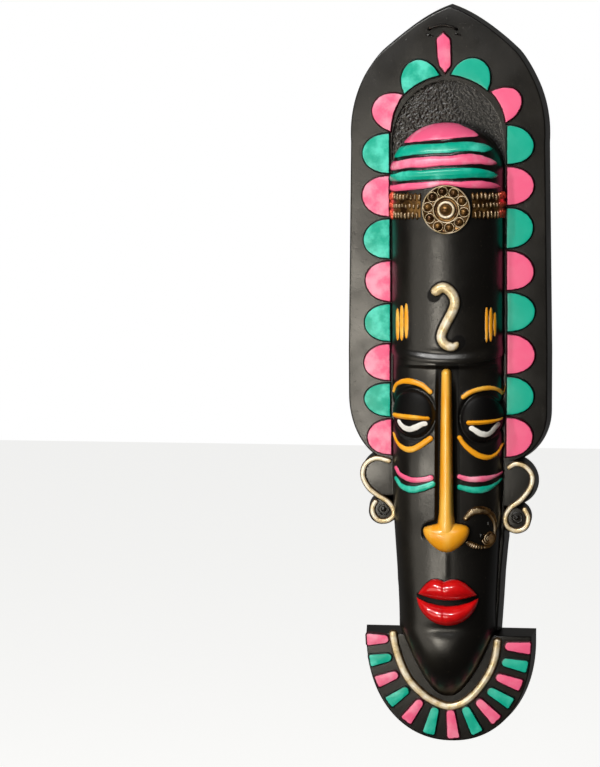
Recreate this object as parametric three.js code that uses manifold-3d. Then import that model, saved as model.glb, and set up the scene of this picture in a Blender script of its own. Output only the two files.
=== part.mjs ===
// A terracotta wall mask: a long stylised face under a striped cap, standing out of a pointed
// board with a scalloped border, with scrolled ears and a barred collar. It is pressed in one
// piece, hollow behind the head, and hangs by a loop of wire through two holes near its tip.
//
// Millimetres. X runs to the viewer's right, the front looks along -Y and +Z is up. The back lies
// on the plane Y = 0, and the origin is the point of the back that rests on the wall just under
// the hanging wire. Places on the mask are given as x, out (how far in front of the back) and
// drop (how far below the tip of the board).
import * as THREE from "three";
import { mergeVertices } from "three/addons/utils/BufferGeometryUtils.js";
import Module from "manifold-3d";

const wasm = await Module();
wasm.setup();

// Driving dimensions of the board that carries everything, and of the collar and the ears beside it
const HEIGHT = 610;
const BOARD_WIDTH = 168.4;
const PLATE_DEPTH = 22;
const WALL_DRAFT = 2.4; // the moulded side walls lean in by this much from back to front
const EDGE_ROUND = 1.4; // the worn front edge
const ORIGIN_DROP = 62;
const ARCH_HALF = 81.6; // the board's half width at the foot of the pointed arch
const ARCH_DROP = 112; // the arch ends here, and the sides widen slowly down to FULL_DROP
const ARCH_BULGE = 2.2; // each side of the arch is fuller than a circle by this much
const FULL_DROP = 282;
const TIP_PINCH = 2.6; // the arch is drawn in by this much under its tip
const TIP_LEAN = 1.6; // and the tip itself leans to the right
const CORNER = { wide: 40, left: 318, right: 332, end: 376 }; // the board's lower corners

// The maker's hand: the head's ridge stands to the right of its foot, by this share of its
// height, and what is on the right-hand side sits lower, by these amounts.
const HEAD_LEAN = 0.065;
const RIGHT_EYE_SAG = 3.4;
const RIGHT_EAR_SAG = 5.5;

// Driving dimensions of the head, which stands out of the plate
const CAP_TOP_DROP = 95.5;
const CAP_END_DROP = 138;
const BROW_DROP = 289.6;
const BROW_RISE = 5.4; // the brow ledge is this much higher at the sides of the head
const CHIN_START_DROP = 510;
const CHIN_TIP_DROP = 573.5;
const HEAD_HALF = 47;
const FACE_HALF = 46.2;
const JAW_HALF = 40.4;
const HEAD_OUT = 54;
const FACE_OUT = 49;
const HEAD_BASE_OUT = 16;
const SECTION_POWER = 2.3; // between an ellipse and a rounded box
const SHELL = 9.5; // the clay's thickness over the hollow
const CAP_TILT = 0.05; // the cap's bands fall to the left by this slope

// Faceting
const HEAD_COLUMNS = 15;
const HOLLOW_COLUMNS = 7;

const lean = (out) => HEAD_LEAN * Math.max(0, out - PLATE_DEPTH);
const at = (x, out, drop) => new THREE.Vector3(x + lean(out), -out, ORIGIN_DROP - drop);
const mix = (a, b, t) => a + (b - a) * t;
const clamp01 = (t) => Math.min(1, Math.max(0, t));
const ease = (t) => clamp01(t) ** 2 * (3 - 2 * clamp01(t));
const sag = (points, amount) =>
  points.map((p) => new THREE.Vector2(p.x, p.y + (p.x > 0 ? amount : 0)));
const steps = (n) => Array.from({ length: n + 1 }, (_, i) => i / n);

// Closed solids

const WELD = 1e-4; // corners nearer than this are one corner

function manifoldOf(geometry) {
  const merged = mergeVertices(geometry, WELD);
  return new wasm.Manifold(
    new wasm.Mesh({
      numProp: 3,
      vertProperties: merged.attributes.position.array,
      triVerts: new Uint32Array(merged.index.array),
    }),
  );
}

// Makes a solid of points and triangles, turned outwards whichever way they were wound.
function solidOf(points, triangles) {
  const volume = triangles.reduce(
    (sum, [a, b, c]) => sum + points[a].dot(points[b].clone().cross(points[c])),
    0,
  );
  const wound = volume < 0 ? triangles.map(([a, b, c]) => [a, c, b]) : triangles;
  const geometry = new THREE.BufferGeometry().setFromPoints(points);
  geometry.setIndex(wound.flat());
  return manifoldOf(geometry);
}

// A ball about the origin with its poles at front and back.
function ball(radius, columns, rows) {
  const sphere = new THREE.SphereGeometry(radius, columns, rows);
  sphere.deleteAttribute("normal");
  sphere.deleteAttribute("uv");
  return sphere;
}

// Joins rings of equal length into a closed solid. The caps are flat or gently curved.
function loft(rings, capTriangles) {
  const n = rings[0].length;
  const triangles = [];
  for (let r = 0; r + 1 < rings.length; r++)
    for (let i = 0; i < n; i++) {
      const j = (i + 1) % n;
      const [a, b] = [r * n + i, r * n + j];
      triangles.push([a, b, b + n], [a, b + n, a + n]);
    }
  const last = (rings.length - 1) * n;
  for (const [a, b, c] of capTriangles)
    triangles.push([c, b, a], [last + a, last + b, last + c]);
  return solidOf(rings.flat(), triangles);
}

// Twice the area of a closed outline, negative where it runs the other way round.
const turnOf = (outline) =>
  outline.reduce((sum, p, i) => sum + p.cross(outline[(i + 1) % outline.length]), 0);

const SHARPEST_MITRE = 0.35;

// The corners of a closed outline, each moved in by an inset along its mitre.
function insetOutline(outline, inset) {
  const n = outline.length;
  const side = Math.sign(turnOf(outline));
  return outline.map((p, i) => {
    const before = p.clone().sub(outline[(i + n - 1) % n]).normalize();
    const after = outline[(i + 1) % n].clone().sub(p).normalize();
    const [m, k] = [before, after].map((t) => new THREE.Vector2(-t.y, t.x).multiplyScalar(side));
    const mitre = m.clone().add(k).multiplyScalar(1 / Math.max(SHARPEST_MITRE, 1 + m.dot(k)));
    return p.clone().addScaledVector(mitre, inset);
  });
}

// A plate with the outline given in x and drop, and one ring for each [out, inset] level.
function layered(outline, levels) {
  const rings = levels.map(([out, inset]) =>
    insetOutline(outline, inset).map((p) => at(p.x, out, p.y)),
  );
  return loft(rings, orient(THREE.ShapeUtils.triangulateShape(outline, []), outline));
}

// Winds cap triangles the way the outline itself runs.
function orient(triangles, outline) {
  const way = turnOf(outline);
  return triangles.map(([a, b, c]) => {
    const turn = turnOf([outline[a], outline[b], outline[c]]);
    return turn * way > 0 ? [a, b, c] : [a, c, b];
  });
}

const fan = (n) => Array.from({ length: n - 2 }, (_, i) => [0, i + 1, i + 2]);
const unite = (solids) => solids.reduce((whole, piece) => whole.add(piece));

// An elliptical or squarer arc from one angle to another, in degrees, anticlockwise from +x.
function arc(x, drop, wide, tall, from, to, count, power = 2) {
  const round = (v) => Math.sign(v) * Math.abs(v) ** (2 / power);
  return steps(count).map((t) => {
    const turn = THREE.MathUtils.degToRad(mix(from, to, t));
    return new THREE.Vector2(x + wide * round(Math.cos(turn)), drop - tall * round(Math.sin(turn)));
  });
}

const mirrored = (points) => points.map((p) => new THREE.Vector2(-p.x, p.y));
const bothSides = (right) => [...right, ...mirrored(right).reverse()];

// The plate

const PLATE_LEVELS = [
  [0, 0],
  [PLATE_DEPTH - EDGE_ROUND, WALL_DRAFT],
  [PLATE_DEPTH, WALL_DRAFT + EDGE_ROUND],
];

// Half of a pointed arch over a wall of the given half width, from the springing to the tip.
function pointedArch(half, drop, height, count) {
  const radius = (half * half + height * height) / (2 * half);
  const end = Math.asin(height / radius);
  return steps(count).map((t) => {
    const turn = t * end;
    const up = Math.sin(turn) * radius;
    const pinch = TIP_PINCH * Math.sin(Math.PI * clamp01((up / height - 0.66) / 0.34));
    const fuller = ARCH_BULGE * Math.sin((Math.PI * up) / height) - pinch;
    return new THREE.Vector2(half - radius + radius * Math.cos(turn) + fuller, drop - up);
  });
}

function boardOutline() {
  const half = BOARD_WIDTH / 2;
  const arch = pointedArch(ARCH_HALF, ARCH_DROP, ARCH_DROP, 11);
  const tip = arch.pop();
  const flank = (start) => {
    const { wide, end } = CORNER;
    const corner = arc(half - wide, start, wide, end - start, -90, 0, 6);
    return [...corner, new THREE.Vector2(half, FULL_DROP), ...arch];
  };
  const even = [...flank(CORNER.right), tip, ...mirrored(flank(CORNER.left)).reverse()];
  return even.map((p) => new THREE.Vector2(p.x + TIP_LEAN * ease((60 - p.y) / 40), p.y));
}

const EAR = { x: 50, drop: 385, wide: 23.8, tall: { left: 20, right: 22 } };
const LOBE = { x: 54.8, drop: 415.2, radius: 13.3 };

function earPlates() {
  return [-1, 1].flatMap((side) => {
    const tall = side < 0 ? EAR.tall.left : EAR.tall.right;
    const ear = arc(side * EAR.x, EAR.drop, EAR.wide, tall, 0, 340, 17);
    const lobe = arc(side * LOBE.x, LOBE.drop, LOBE.radius, LOBE.radius, 0, 336, 14);
    return [ear, lobe].map((outline) => layered(sag(outline, RIGHT_EAR_SAG), PLATE_LEVELS));
  });
}

// The plate under the jaws, which is fuller on the right
const JAW = [
  [43.4, 516], [45.2, 490], [46.6, 466], [48.6, 444], [49.4, 438], [49.4, 370],
  [-46.2, 370], [-45.2, 440], [-44, 472], [-41.4, 502], [-40.4, 516],
];

function jawPlate() {
  return layered(JAW.map(([x, drop]) => new THREE.Vector2(x, drop)), PLATE_LEVELS);
}

const COLLAR = { x: 0.7, half: 71.2, top: 515.4, centre: 522, power: 2.15, skew: 0.02 };

function collarPlate() {
  const tall = HEIGHT - COLLAR.centre;
  const rim = arc(COLLAR.x, COLLAR.centre, COLLAR.half, tall, -180, 0, 20, COLLAR.power);
  const top = [1, -1].map((side) => new THREE.Vector2(COLLAR.x + side * COLLAR.half, COLLAR.top));
  const skewed = rim.map((p) => new THREE.Vector2(p.x + COLLAR.skew * (p.y - COLLAR.centre), p.y));
  return layered([...skewed, ...top], PLATE_LEVELS);
}

// The head

// Half the head's width, and how far its ridge stands out, at each drop.
function headShape(drop) {
  const full = HEAD_OUT - HEAD_BASE_OUT;
  if (drop < CAP_END_DROP) {
    const up = (CAP_END_DROP - drop) / (CAP_END_DROP - CAP_TOP_DROP);
    const share = Math.sqrt(Math.max(0, 1 - up * up));
    return { half: (HEAD_HALF - 0.5) * share, out: HEAD_BASE_OUT + full * share ** 0.85 };
  }
  if (drop < BROW_DROP) {
    const roll = 1.6 * Math.exp(-(((drop - BROW_DROP + 4) / 5) ** 2));
    return { half: HEAD_HALF - 0.5 + roll * 0.3, out: HEAD_OUT - 0.8 + roll };
  }
  if (drop < CHIN_START_DROP) {
    const down = ease((drop - 380) / (CHIN_START_DROP - 380));
    return { half: mix(FACE_HALF, JAW_HALF, down), out: FACE_OUT - 1.5 * Math.sin(down * Math.PI) };
  }
  const down = clamp01((drop - CHIN_START_DROP) / (CHIN_TIP_DROP - CHIN_START_DROP));
  const belly = 1.8 * Math.sin(Math.PI * clamp01(down / 0.8));
  const fall = (FACE_OUT - PLATE_DEPTH + 6) * down ** 3;
  return { half: JAW_HALF * (1 - down) ** 0.6, out: FACE_OUT + belly - fall };
}

// How far the bare head stands out at a point.
function headOut(x, drop) {
  const { half, out } = headShape(drop);
  const across = clamp01(Math.abs(x) / Math.max(half, 1e-6));
  const round = (1 - across ** SECTION_POWER) ** (1 / SECTION_POWER);
  return Math.max(HEAD_BASE_OUT + (out - HEAD_BASE_OUT) * round, PLATE_DEPTH);
}

// One cross-section of the head as a closed ring, with its skirt sunk into the plate.
function headRing(row, columns, shrink, skirtOut) {
  const { half, out } = headShape(row.drop);
  const round = (v) => Math.sign(v) * Math.abs(v) ** (2 / SECTION_POWER);
  const front = steps(columns).map((t) => {
    const turn = Math.PI * t;
    const [c, s] = [Math.cos(turn), Math.sin(turn)];
    const wide = Math.max(half - shrink + row.swell, 0.3);
    const high = Math.max(out - HEAD_BASE_OUT - shrink + row.swell, 0.3);
    const drop = row.drop - row.tilt * wide * round(c) - row.rise * c * c;
    return at(wide * round(c), HEAD_BASE_OUT + high * round(s), drop);
  });
  const skirt = [front.at(-1), front[0]].map((p) => new THREE.Vector3(p.x, -skirtOut, p.z));
  return [...front, ...skirt];
}

const CAP_BANDS = [
  [113.6, 121.3],
  [123.1, 131.8],
  [134, 141.1],
  [143.2, 149],
];
const BAND_SWELL = 1.3;

// The rows of the head, from the crown of the cap to the tip of the chin.
function headRows() {
  const row = (drop, swell = 0) => {
    const tilt = CAP_TILT * ease((drop - CAP_TOP_DROP) / 12) * ease((190 - drop) / 40);
    const rise = BROW_RISE * ease((drop - 230) / 45) * ease((360 - drop) / 60);
    return { drop, swell, tilt, rise };
  };
  const crown = [95.9, 98.6, 103.4].map((drop) => row(drop, BAND_SWELL));
  const bands = CAP_BANDS.flatMap(([top, end]) => [
    row(top),
    row(top + 0.8, BAND_SWELL),
    row(end - 0.8, BAND_SWELL),
    row(end),
  ]);
  const brow = [151, 235, 272, 284, 289.4];
  const face = [289.8, 306, 360, 420, 470, 509];
  const chin = [520, 533, 546, 557, 566, 572];
  return [
    ...crown,
    row(110.8, BAND_SWELL),
    row(111.7),
    ...bands,
    ...[...brow, ...face, ...chin].map((drop) => row(drop)),
  ];
}

function head() {
  const rings = headRows().map((row) => headRing(row, HEAD_COLUMNS, 0, PLATE_DEPTH / 2));
  return loft(rings, fan(HEAD_COLUMNS + 3));
}

const HOLLOW_DROPS = [110, 117, 128, 145, 276, 296, 400, 498, 518, 533, 545];

function hollow() {
  const rings = HOLLOW_DROPS.map((drop) => {
    const end = drop < 130 ? 0 : 1.5;
    return headRing({ drop, swell: 0, tilt: 0, rise: 0 }, HOLLOW_COLUMNS, SHELL + end, -1);
  });
  return loft(rings, fan(HOLLOW_COLUMNS + 3));
}

// Raised work

// The section of a ridge: its foot is sunk in the clay, and its shoulders stand a little lower
// than its back. Each end is drawn in, and probe is how far apart the surface is felt for its slope.
const RIDGE = { sunk: 2.5, shoulder: 0.4, shoulderRise: 0.6, endShare: 0.72, probe: 0.8 };

// A ridge along a path of x and drop on the surface that ground gives, narrowing by taper.
function ridge(path, { wide, rise, ground = headOut, taper = [1, 1] }) {
  const rings = path.map((p, i) => {
    const before = path[Math.max(0, i - 1)];
    const after = path[Math.min(path.length - 1, i + 1)];
    const point = (x, drop) => at(x, ground(x, drop), drop);
    const along = point(after.x, after.y).sub(point(before.x, before.y)).normalize();
    const dx = point(p.x + RIDGE.probe, p.y).sub(point(p.x - RIDGE.probe, p.y));
    const dz = point(p.x, p.y - RIDGE.probe).sub(point(p.x, p.y + RIDGE.probe));
    const normal = dx.cross(dz).normalize();
    const across = along.clone().cross(normal).normalize();
    const t = i / (path.length - 1);
    const share = mix(taper[0], taper[1], t) * (t === 0 || t === 1 ? RIDGE.endShare : 1);
    const profile = [
      [-0.5, -RIDGE.sunk],
      [-RIDGE.shoulder, rise * RIDGE.shoulderRise * share],
      [0, rise * share],
      [RIDGE.shoulder, rise * RIDGE.shoulderRise * share],
      [0.5, -RIDGE.sunk],
    ];
    return profile.map(([side, up]) =>
      point(p.x, p.y)
        .addScaledVector(across, side * wide * share)
        .addScaledVector(normal, up),
    );
  });
  return loft(rings, fan(5));
}

const onPlate = () => PLATE_DEPTH;

// Points along a smooth curve through the given x and drop pairs.
function curve(pairs, count) {
  const line = new THREE.SplineCurve(pairs.map(([x, drop]) => new THREE.Vector2(x, drop)));
  return line.getSpacedPoints(count);
}

// The scalloped border follows the head up one side and round the niche behind the cap
const BORDER = { half: 48, spring: 109.8, end: 368.4, tall: 48.4, count: 10 };
const BORDER_GAP = { left: 8, right: 3 }; // degrees of the arch that stay free at the top
const BORDER_DRIFT = { left: [-4, 2], right: [5.5, 1] }; // how unevenly it is spaced, and in waves
const SCALLOP = { deep: 20.6, gap: 1.2, rise: 2.6, chamfer: 1.5 };

// A point of the border's inner line, at a share of its length from the bottom.
function borderPoint(side, share) {
  const name = side < 0 ? "left" : "right";
  const [drift, waves] = BORDER_DRIFT[name];
  const straight = BORDER.end - BORDER.spring;
  const sweep = THREE.MathUtils.degToRad(90 - BORDER_GAP[name]);
  const even = share * (straight + sweep * BORDER.half);
  const along = even + drift * Math.sin(waves * Math.PI * share);
  if (along < straight) return new THREE.Vector2(side * BORDER.half, BORDER.end - along);
  const turn = (along - straight) / BORDER.half;
  const [across, up] = [BORDER.half * Math.cos(turn), BORDER.tall * Math.sin(turn)];
  return new THREE.Vector2(side * across, BORDER.spring - up);
}

// A half-disc standing on a chord from a to b, on the side away from the middle of the board.
function scallop(a, b, side) {
  const along = b.clone().sub(a).normalize();
  const half = a.distanceTo(b) / 2 - SCALLOP.gap / 2;
  const outward = new THREE.Vector2(-along.y, along.x).multiplyScalar(side);
  const middle = a.clone().add(b).multiplyScalar(0.5).addScaledVector(outward, 0.6);
  const outline = steps(7).map((t) => {
    const turn = Math.PI * t;
    return middle
      .clone()
      .addScaledVector(along, half * Math.cos(turn))
      .addScaledVector(outward, SCALLOP.deep * Math.sin(turn) ** 0.9);
  });
  return layered(outline, [
    [PLATE_DEPTH - 4, 0],
    [PLATE_DEPTH + SCALLOP.rise - 1, 0.1],
    [PLATE_DEPTH + SCALLOP.rise, SCALLOP.chamfer],
  ]);
}

function border() {
  return [-1, 1].flatMap((side) => {
    const knots = steps(BORDER.count).map((share) => borderPoint(side, share));
    return knots.slice(1).map((knot, i) => scallop(knots[i], knot, side));
  });
}

// The long dart above the niche
const DART = { x: -3.2, top: 22.6, bottom: 57.6, wide: 6.3, lean: 1.4 };

function dart() {
  const { x, top, bottom, wide, lean: slant } = DART;
  const right = [
    new THREE.Vector2(wide * 0.84, bottom - 6.4),
    new THREE.Vector2(wide, top + 6.4),
  ];
  const outline = [new THREE.Vector2(0, bottom), ...right, new THREE.Vector2(0, top)];
  outline.push(...mirrored(right).reverse());
  const leaning = (p) => new THREE.Vector2(x + p.x + (slant * (p.y - top)) / (bottom - top), p.y);
  return layered(outline.map(leaning), [
    [PLATE_DEPTH - 4, 0],
    [PLATE_DEPTH + 1.4, 0.1],
    [PLATE_DEPTH + 2.2, 1],
  ]);
}

// The rough recess behind the cap
const NICHE_DEEP = 3;

function niche() {
  const rim = arc(0, BORDER.spring, BORDER.half, BORDER.tall, 0, 180, 20);
  const sides = [-1, 1].map((side) => new THREE.Vector2(side * BORDER.half, 150));
  return layered([...rim, ...sides], [
    [PLATE_DEPTH - NICHE_DEEP, 0.6],
    [PLATE_DEPTH + 30, -0.4],
  ]);
}

// The brooch and the two ridged bands that it joins
const BROOCH = { drop: 164.3, radius: 19.6, beads: 10, beadRing: 14.4, bead: 2.6, boss: 4.4 };

function disc(x, drop, radius, levels, sides) {
  const outline = arc(x, drop, radius, radius, 0, 360 - 360 / sides, sides - 1);
  return layered(outline, levels);
}

function bead(x, out, drop, radius) {
  const centre = at(x, out, drop);
  return manifoldOf(ball(radius, 6, 4).translate(centre.x, centre.y, centre.z));
}

function brooch() {
  const { drop, radius } = BROOCH;
  const face = HEAD_OUT + 2.4;
  const plate = disc(0, drop, radius, [
    [HEAD_OUT - 20, 0],
    [face - 1.2, 0.3],
    [face, 1.6],
  ], 18);
  const step = disc(0, drop, 9.6, [
    [face - 1, 0],
    [face + 1, 0.2],
    [face + 1.6, 1.6],
  ], 12);
  const middle = bead(0, face + 1.6, drop, BROOCH.boss);
  const ring = steps(BROOCH.beads).slice(1).map((t) => {
    const turn = 2 * Math.PI * t + 0.25;
    const [x, down] = [Math.cos(turn), Math.sin(turn)].map((v) => v * BROOCH.beadRing);
    return bead(x, face - 0.6, drop + down, BROOCH.bead);
  });
  return [plate, step, middle, ...ring];
}

const BAND = { inner: 21.5, outer: 45, rows: [[151, 159.8], [162, 171.4]], ridges: 7 };

function ridgedBands() {
  return [-1, 1].flatMap((side) =>
    BAND.rows.flatMap(([top, end]) =>
      steps(BAND.ridges - 1).map((t) => {
        const x = side * mix(BAND.inner, BAND.outer, t);
        const path = [top, end].map((drop) => new THREE.Vector2(x, drop));
        return ridge(path, { wide: 3.2, rise: 2.4 });
      }),
    ),
  );
}

// The forehead's ornament
const HOOK_TOP = { x: -2, drop: 236.2, radius: 8.4 };
const HOOK_END = { x: 3.4, drop: 266.3, radius: 8 };
const STROKES = { xs: [29.4, 32.8, 36.1, 39.4], top: 245.4, end: 272 };

function forehead() {
  const upper = arc(HOOK_TOP.x, HOOK_TOP.drop, HOOK_TOP.radius, HOOK_TOP.radius, 180, -20, 8);
  const lower = arc(HOOK_END.x, HOOK_END.drop, HOOK_END.radius, HOOK_END.radius, 165, 332, 7);
  const line = new THREE.SplineCurve([...upper, ...lower]).getSpacedPoints(15);
  const hook = ridge(line, { wide: 7.2, rise: 3.6, taper: [1, 0.62] });
  const strokes = [-1, 1].flatMap((side) =>
    STROKES.xs.map((x) => {
      const ends = [STROKES.top, STROKES.end];
      const path = ends.map((drop) => new THREE.Vector2(side * x, drop));
      return ridge(path, { wide: 3.1, rise: 1.8 });
    }),
  );
  return [hook, ...strokes];
}

// The eyes: a globe in a hollow between two painted arcs, with a bar along the lid
const EYE = { x: 28.5, drop: 332.5, wide: 15, tall: 16.5, rise: 4 };
const SOCKET = { x: 28.5, drop: 333.5, wide: 19, tall: 25, deep: 3.6 };
const EYE_TURN = 0.43; // the globes face outwards with the side of the face
const LIDS = {
  left: [[-43.2, 334], [-28, 333.2], [-14.6, 332.6]],
  right: [[15.6, 336.4], [29, 336.4], [43.8, 336.4]],
};
const BROWS = {
  left: [[-44, 313.4], [-41, 307.6], [-33, 304.4], [-22, 306.6], [-11.8, 313.8]],
  right: [[13.2, 316.4], [22, 311.6], [33, 309.6], [41, 311.6], [45.2, 316]],
};
const UNDERS = {
  left: [[-44, 349.4], [-39, 357.4], [-29.2, 360.4], [-21, 356.3], [-12.4, 349.3]],
  right: [[10.3, 348.7], [18, 358.7], [29, 365], [39, 365.2], [44.8, 360]],
};

// A squashed ball on the face, made of a sphere of the given facets.
function mound({ x, drop, wide, tall }, out, deep, columns, rows) {
  const shape = ball(1, columns, rows).scale(wide, deep, tall);
  const centre = at(x, out, drop);
  shape.rotateZ(Math.sign(x) * EYE_TURN).translate(centre.x, centre.y, centre.z);
  return manifoldOf(shape);
}

const placed = (spot, side) => ({
  ...spot,
  x: side * spot.x,
  drop: spot.drop + (side > 0 ? RIGHT_EYE_SAG : 0),
});

function sockets() {
  return [-1, 1].map((side) => {
    const spot = placed(SOCKET, side);
    const out = headOut(spot.x, spot.drop) + 2.5;
    return mound(spot, out, SOCKET.deep + 2.5, 12, 8);
  });
}

function eyes() {
  return [-1, 1].flatMap((side) => {
    const spot = placed(EYE, side);
    const base = headOut(spot.x, spot.drop) - 5;
    const onGlobe = (x, drop) => {
      const away = ((x - spot.x) / EYE.wide) ** 2 + ((drop - spot.drop) / EYE.tall) ** 2;
      return base + (EYE.rise + 5) * Math.sqrt(Math.max(0.12, 1 - away)) - 0.4;
    };
    const name = side < 0 ? "left" : "right";
    return [
      mound(spot, base, EYE.rise + 5, 12, 7),
      ridge(curve(LIDS[name], 4), { wide: 3.8, rise: 1.6, ground: onGlobe }),
      ridge(curve(BROWS[name], 7), { wide: 3.8, rise: 2, taper: [1, 0.8] }),
      ridge(curve(UNDERS[name], 6), { wide: 3.8, rise: 2, taper: [1, 0.8] }),
    ];
  });
}

// The two painted stripes across each cheek
const STRIPES = [
  { pairs: [[-12.8, 382.8], [-24, 384.9], [-36, 383], [-42.2, 376.6]], wide: 4.8 },
  { pairs: [[-11.2, 387.8], [-24, 392.6], [-36, 392], [-42.2, 385.4]], wide: 5.2 },
  { pairs: [[10.6, 381.3], [20, 383.7], [33, 383.2], [44.2, 381.4]], wide: 4.8 },
  { pairs: [[10.6, 389.8], [22, 392.3], [33, 391.8], [43.8, 386.2]], wide: 5.2 },
];

function cheekStripes() {
  return STRIPES.map(({ pairs, wide }) =>
    ridge(curve(pairs, 5), { wide, rise: 1.7, taper: [1, 0.6] }),
  );
}

// The nose stands in a long trough between the cheeks
const NOSE = { top: 294.4, tip: 427, bottom: 443.2, lobe: 18.6 };
const TROUGH = { half: 9.8, top: 291, end: 421, deep: 3 };

function trough() {
  const right = [
    new THREE.Vector2(TROUGH.half, TROUGH.end),
    new THREE.Vector2(TROUGH.half - 1.5, TROUGH.top),
  ];
  return layered(bothSides(right), [
    [FACE_OUT - TROUGH.deep, 1.2],
    [FACE_OUT + 12, -1],
  ]);
}

function nose() {
  // drop, half width of the painted top, half width of the foot, out
  const rows = [
    [NOSE.top, 2.6, 4.4, FACE_OUT + 2],
    [NOSE.top + 3, 4, 5.4, FACE_OUT + 4.4],
    [340, 4.6, 6, FACE_OUT + 6],
    [395, 5.2, 7, FACE_OUT + 8.4],
    [414, 6.4, 8.4, FACE_OUT + 10.2],
    [424, 9.6, 12, FACE_OUT + 10.8],
    [431, 10.4, 13, FACE_OUT + 10],
  ];
  const bar = rows.map(([drop, top, foot, out]) =>
    [
      [-foot, FACE_OUT - 12],
      [-foot, FACE_OUT - 2.5],
      [-top, out - 1.4],
      [-top * 0.45, out],
      [top * 0.45, out],
      [top, out - 1.4],
      [foot, FACE_OUT - 2.5],
      [foot, FACE_OUT - 12],
    ].map(([x, o]) => at(x, o, drop)),
  );
  const lobe = arc(NOSE.lobe - 5.4, NOSE.tip, 5.4, 5.4, -42, 130, 5);
  const tip = [new THREE.Vector2(0, NOSE.bottom), new THREE.Vector2(4.5, NOSE.bottom - 1.5)];
  const right = [...tip, ...lobe];
  const outline = [...right, ...mirrored(right.slice(1)).reverse()];
  const foot = layered(outline, [
    [FACE_OUT - 14, 0],
    [FACE_OUT + 4, 0.4],
    [FACE_OUT + 8.4, 2],
    [FACE_OUT + 10.8, 4.4],
  ]);
  return [loft(bar, fan(8)), foot];
}

// The ring in the right nostril, with a coiled boss
const HOOP = { x: 25.9, drop: 423.6, wide: 12.6, tall: 16, boss: 4.6 };

function noseRing() {
  const hoop = arc(HOOP.x, HOOP.drop, HOOP.wide, HOOP.tall, 160, -140, 13);
  const [x, drop] = [HOOP.x + 7.5, HOOP.drop + 8.6];
  const boss = bead(x, headOut(x, drop) + 0.4, drop, HOOP.boss);
  return [ridge(hoop, { wide: 5, rise: 3 }), boss];
}

// The lips
const LIPS = { x: 0.8, half: 25.4, dip: 468.2, peak: 5, mouth: 479.9, bottom: 503.8, rise: 9 };
const LIP_CLEFT = -0.11; // where the upper lip dips, as a share of half its width
const LIP_SINK = 5; // the parting hangs this much lower in the middle than at the corners

// A lip between two edges, each a function from -1 to 1 across the mouth to a drop.
function lip(topEdge, endEdge, fullest) {
  const [columns, rows] = [8, 4];
  const front = [];
  const behind = [];
  for (const u of steps(columns).map((t) => 2 * t - 1))
    for (const v of steps(rows)) {
      const drop = mix(topEdge(u), endEdge(u), v);
      const x = LIPS.x + LIPS.half * u;
      const round = Math.sin(Math.PI * v ** fullest) ** 0.7 * (1 - Math.abs(u) ** 2.4) ** 0.6;
      const ground = headOut(x, drop);
      front.push(at(x, ground + 0.2 + LIPS.rise * round, drop));
      behind.push(at(x, ground - 5, drop));
    }
  const wide = rows + 1;
  const triangles = [];
  const layer = front.length;
  const quad = (a, b, c, d) => triangles.push([a, b, c], [a, c, d]);
  for (let i = 0; i < columns; i++)
    for (let j = 0; j < rows; j++) {
      const a = i * wide + j;
      quad(a, a + wide, a + wide + 1, a + 1);
      quad(layer + a + 1, layer + a + wide + 1, layer + a + wide, layer + a);
    }
  for (let i = 0; i < columns; i++) {
    const [a, b] = [i * wide, (i + 1) * wide];
    quad(layer + a, layer + b, b, a);
    quad(a + rows, b + rows, layer + b + rows, layer + a + rows);
  }
  for (let j = 0; j < rows; j++) {
    quad(j + 1, layer + j + 1, layer + j, j);
    const end = columns * wide + j;
    quad(end, layer + end, layer + end + 1, end + 1);
  }
  return solidOf([...front, ...behind], triangles);
}

function lips() {
  const bow = (u) => {
    const w = (u - LIP_CLEFT) / (1 - Math.sign(u - LIP_CLEFT) * LIP_CLEFT);
    return mix(LIPS.dip, LIPS.mouth, w * w) - LIPS.peak * Math.sin(Math.PI * Math.abs(w));
  };
  const part = (u) => LIPS.mouth + LIP_SINK * (1 - u * u);
  const lower = (u) => mix(LIPS.mouth + 1.5, LIPS.bottom, Math.sqrt(1 - u * u) ** 1.1);
  return [
    lip((u) => bow(u), (u) => part(u) - 1 - 0.2 * u * u, 0.85),
    lip((u) => part(u) + 0.9, (u) => lower(u) + 0.8, 0.95),
  ];
}

// The scrolls in the ears, and the bead in each loop
const SCROLL = { x: 57, drop: 384, radius: 13 };
const LOOP = { x: 54.6, drop: 413, radius: 8.8 };

function earScrolls() {
  const sweep = arc(SCROLL.x, SCROLL.drop, SCROLL.radius, SCROLL.radius, 130, -56, 8);
  const loop = arc(LOOP.x, LOOP.drop, LOOP.radius, LOOP.radius, 105, 415, 12);
  const line = new THREE.SplineCurve([...sweep, ...loop]).getSpacedPoints(17);
  return [-1, 1].flatMap((side) => {
    const turned = line.map((p) => new THREE.Vector2(side * p.x, p.y));
    const centre = LOOP.drop + (side > 0 ? RIGHT_EAR_SAG : 0);
    return [
      ridge(sag(turned, RIGHT_EAR_SAG), { wide: 4.4, rise: 3, ground: onPlate }),
      bead(side * LOOP.x, PLATE_DEPTH, centre, 2.4),
    ];
  });
}

// The collar's gold cord and its fan of bars
const BAR_LEVELS = [
  [PLATE_DEPTH - 4, 0],
  [PLATE_DEPTH + 1, 0.1],
  [PLATE_DEPTH + 1.8, 1.1],
];
const CORD = { x: -1.2, half: 43.6, top: 514, tall: 64, wide: 6.4, rise: 3.4 };
const BARS = { count: 13, drop: 517.5, from: 4.6, to: 171.7, bunch: 3.6, turn: 5.5 };
const BAR_INNER = { x: -1.4, wide: 50.5, tall: 64.8, half: 3.9 };
const BAR_OUTER = { x: 1, wide: 68.4, tall: 88, half: 5.6 };

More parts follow.
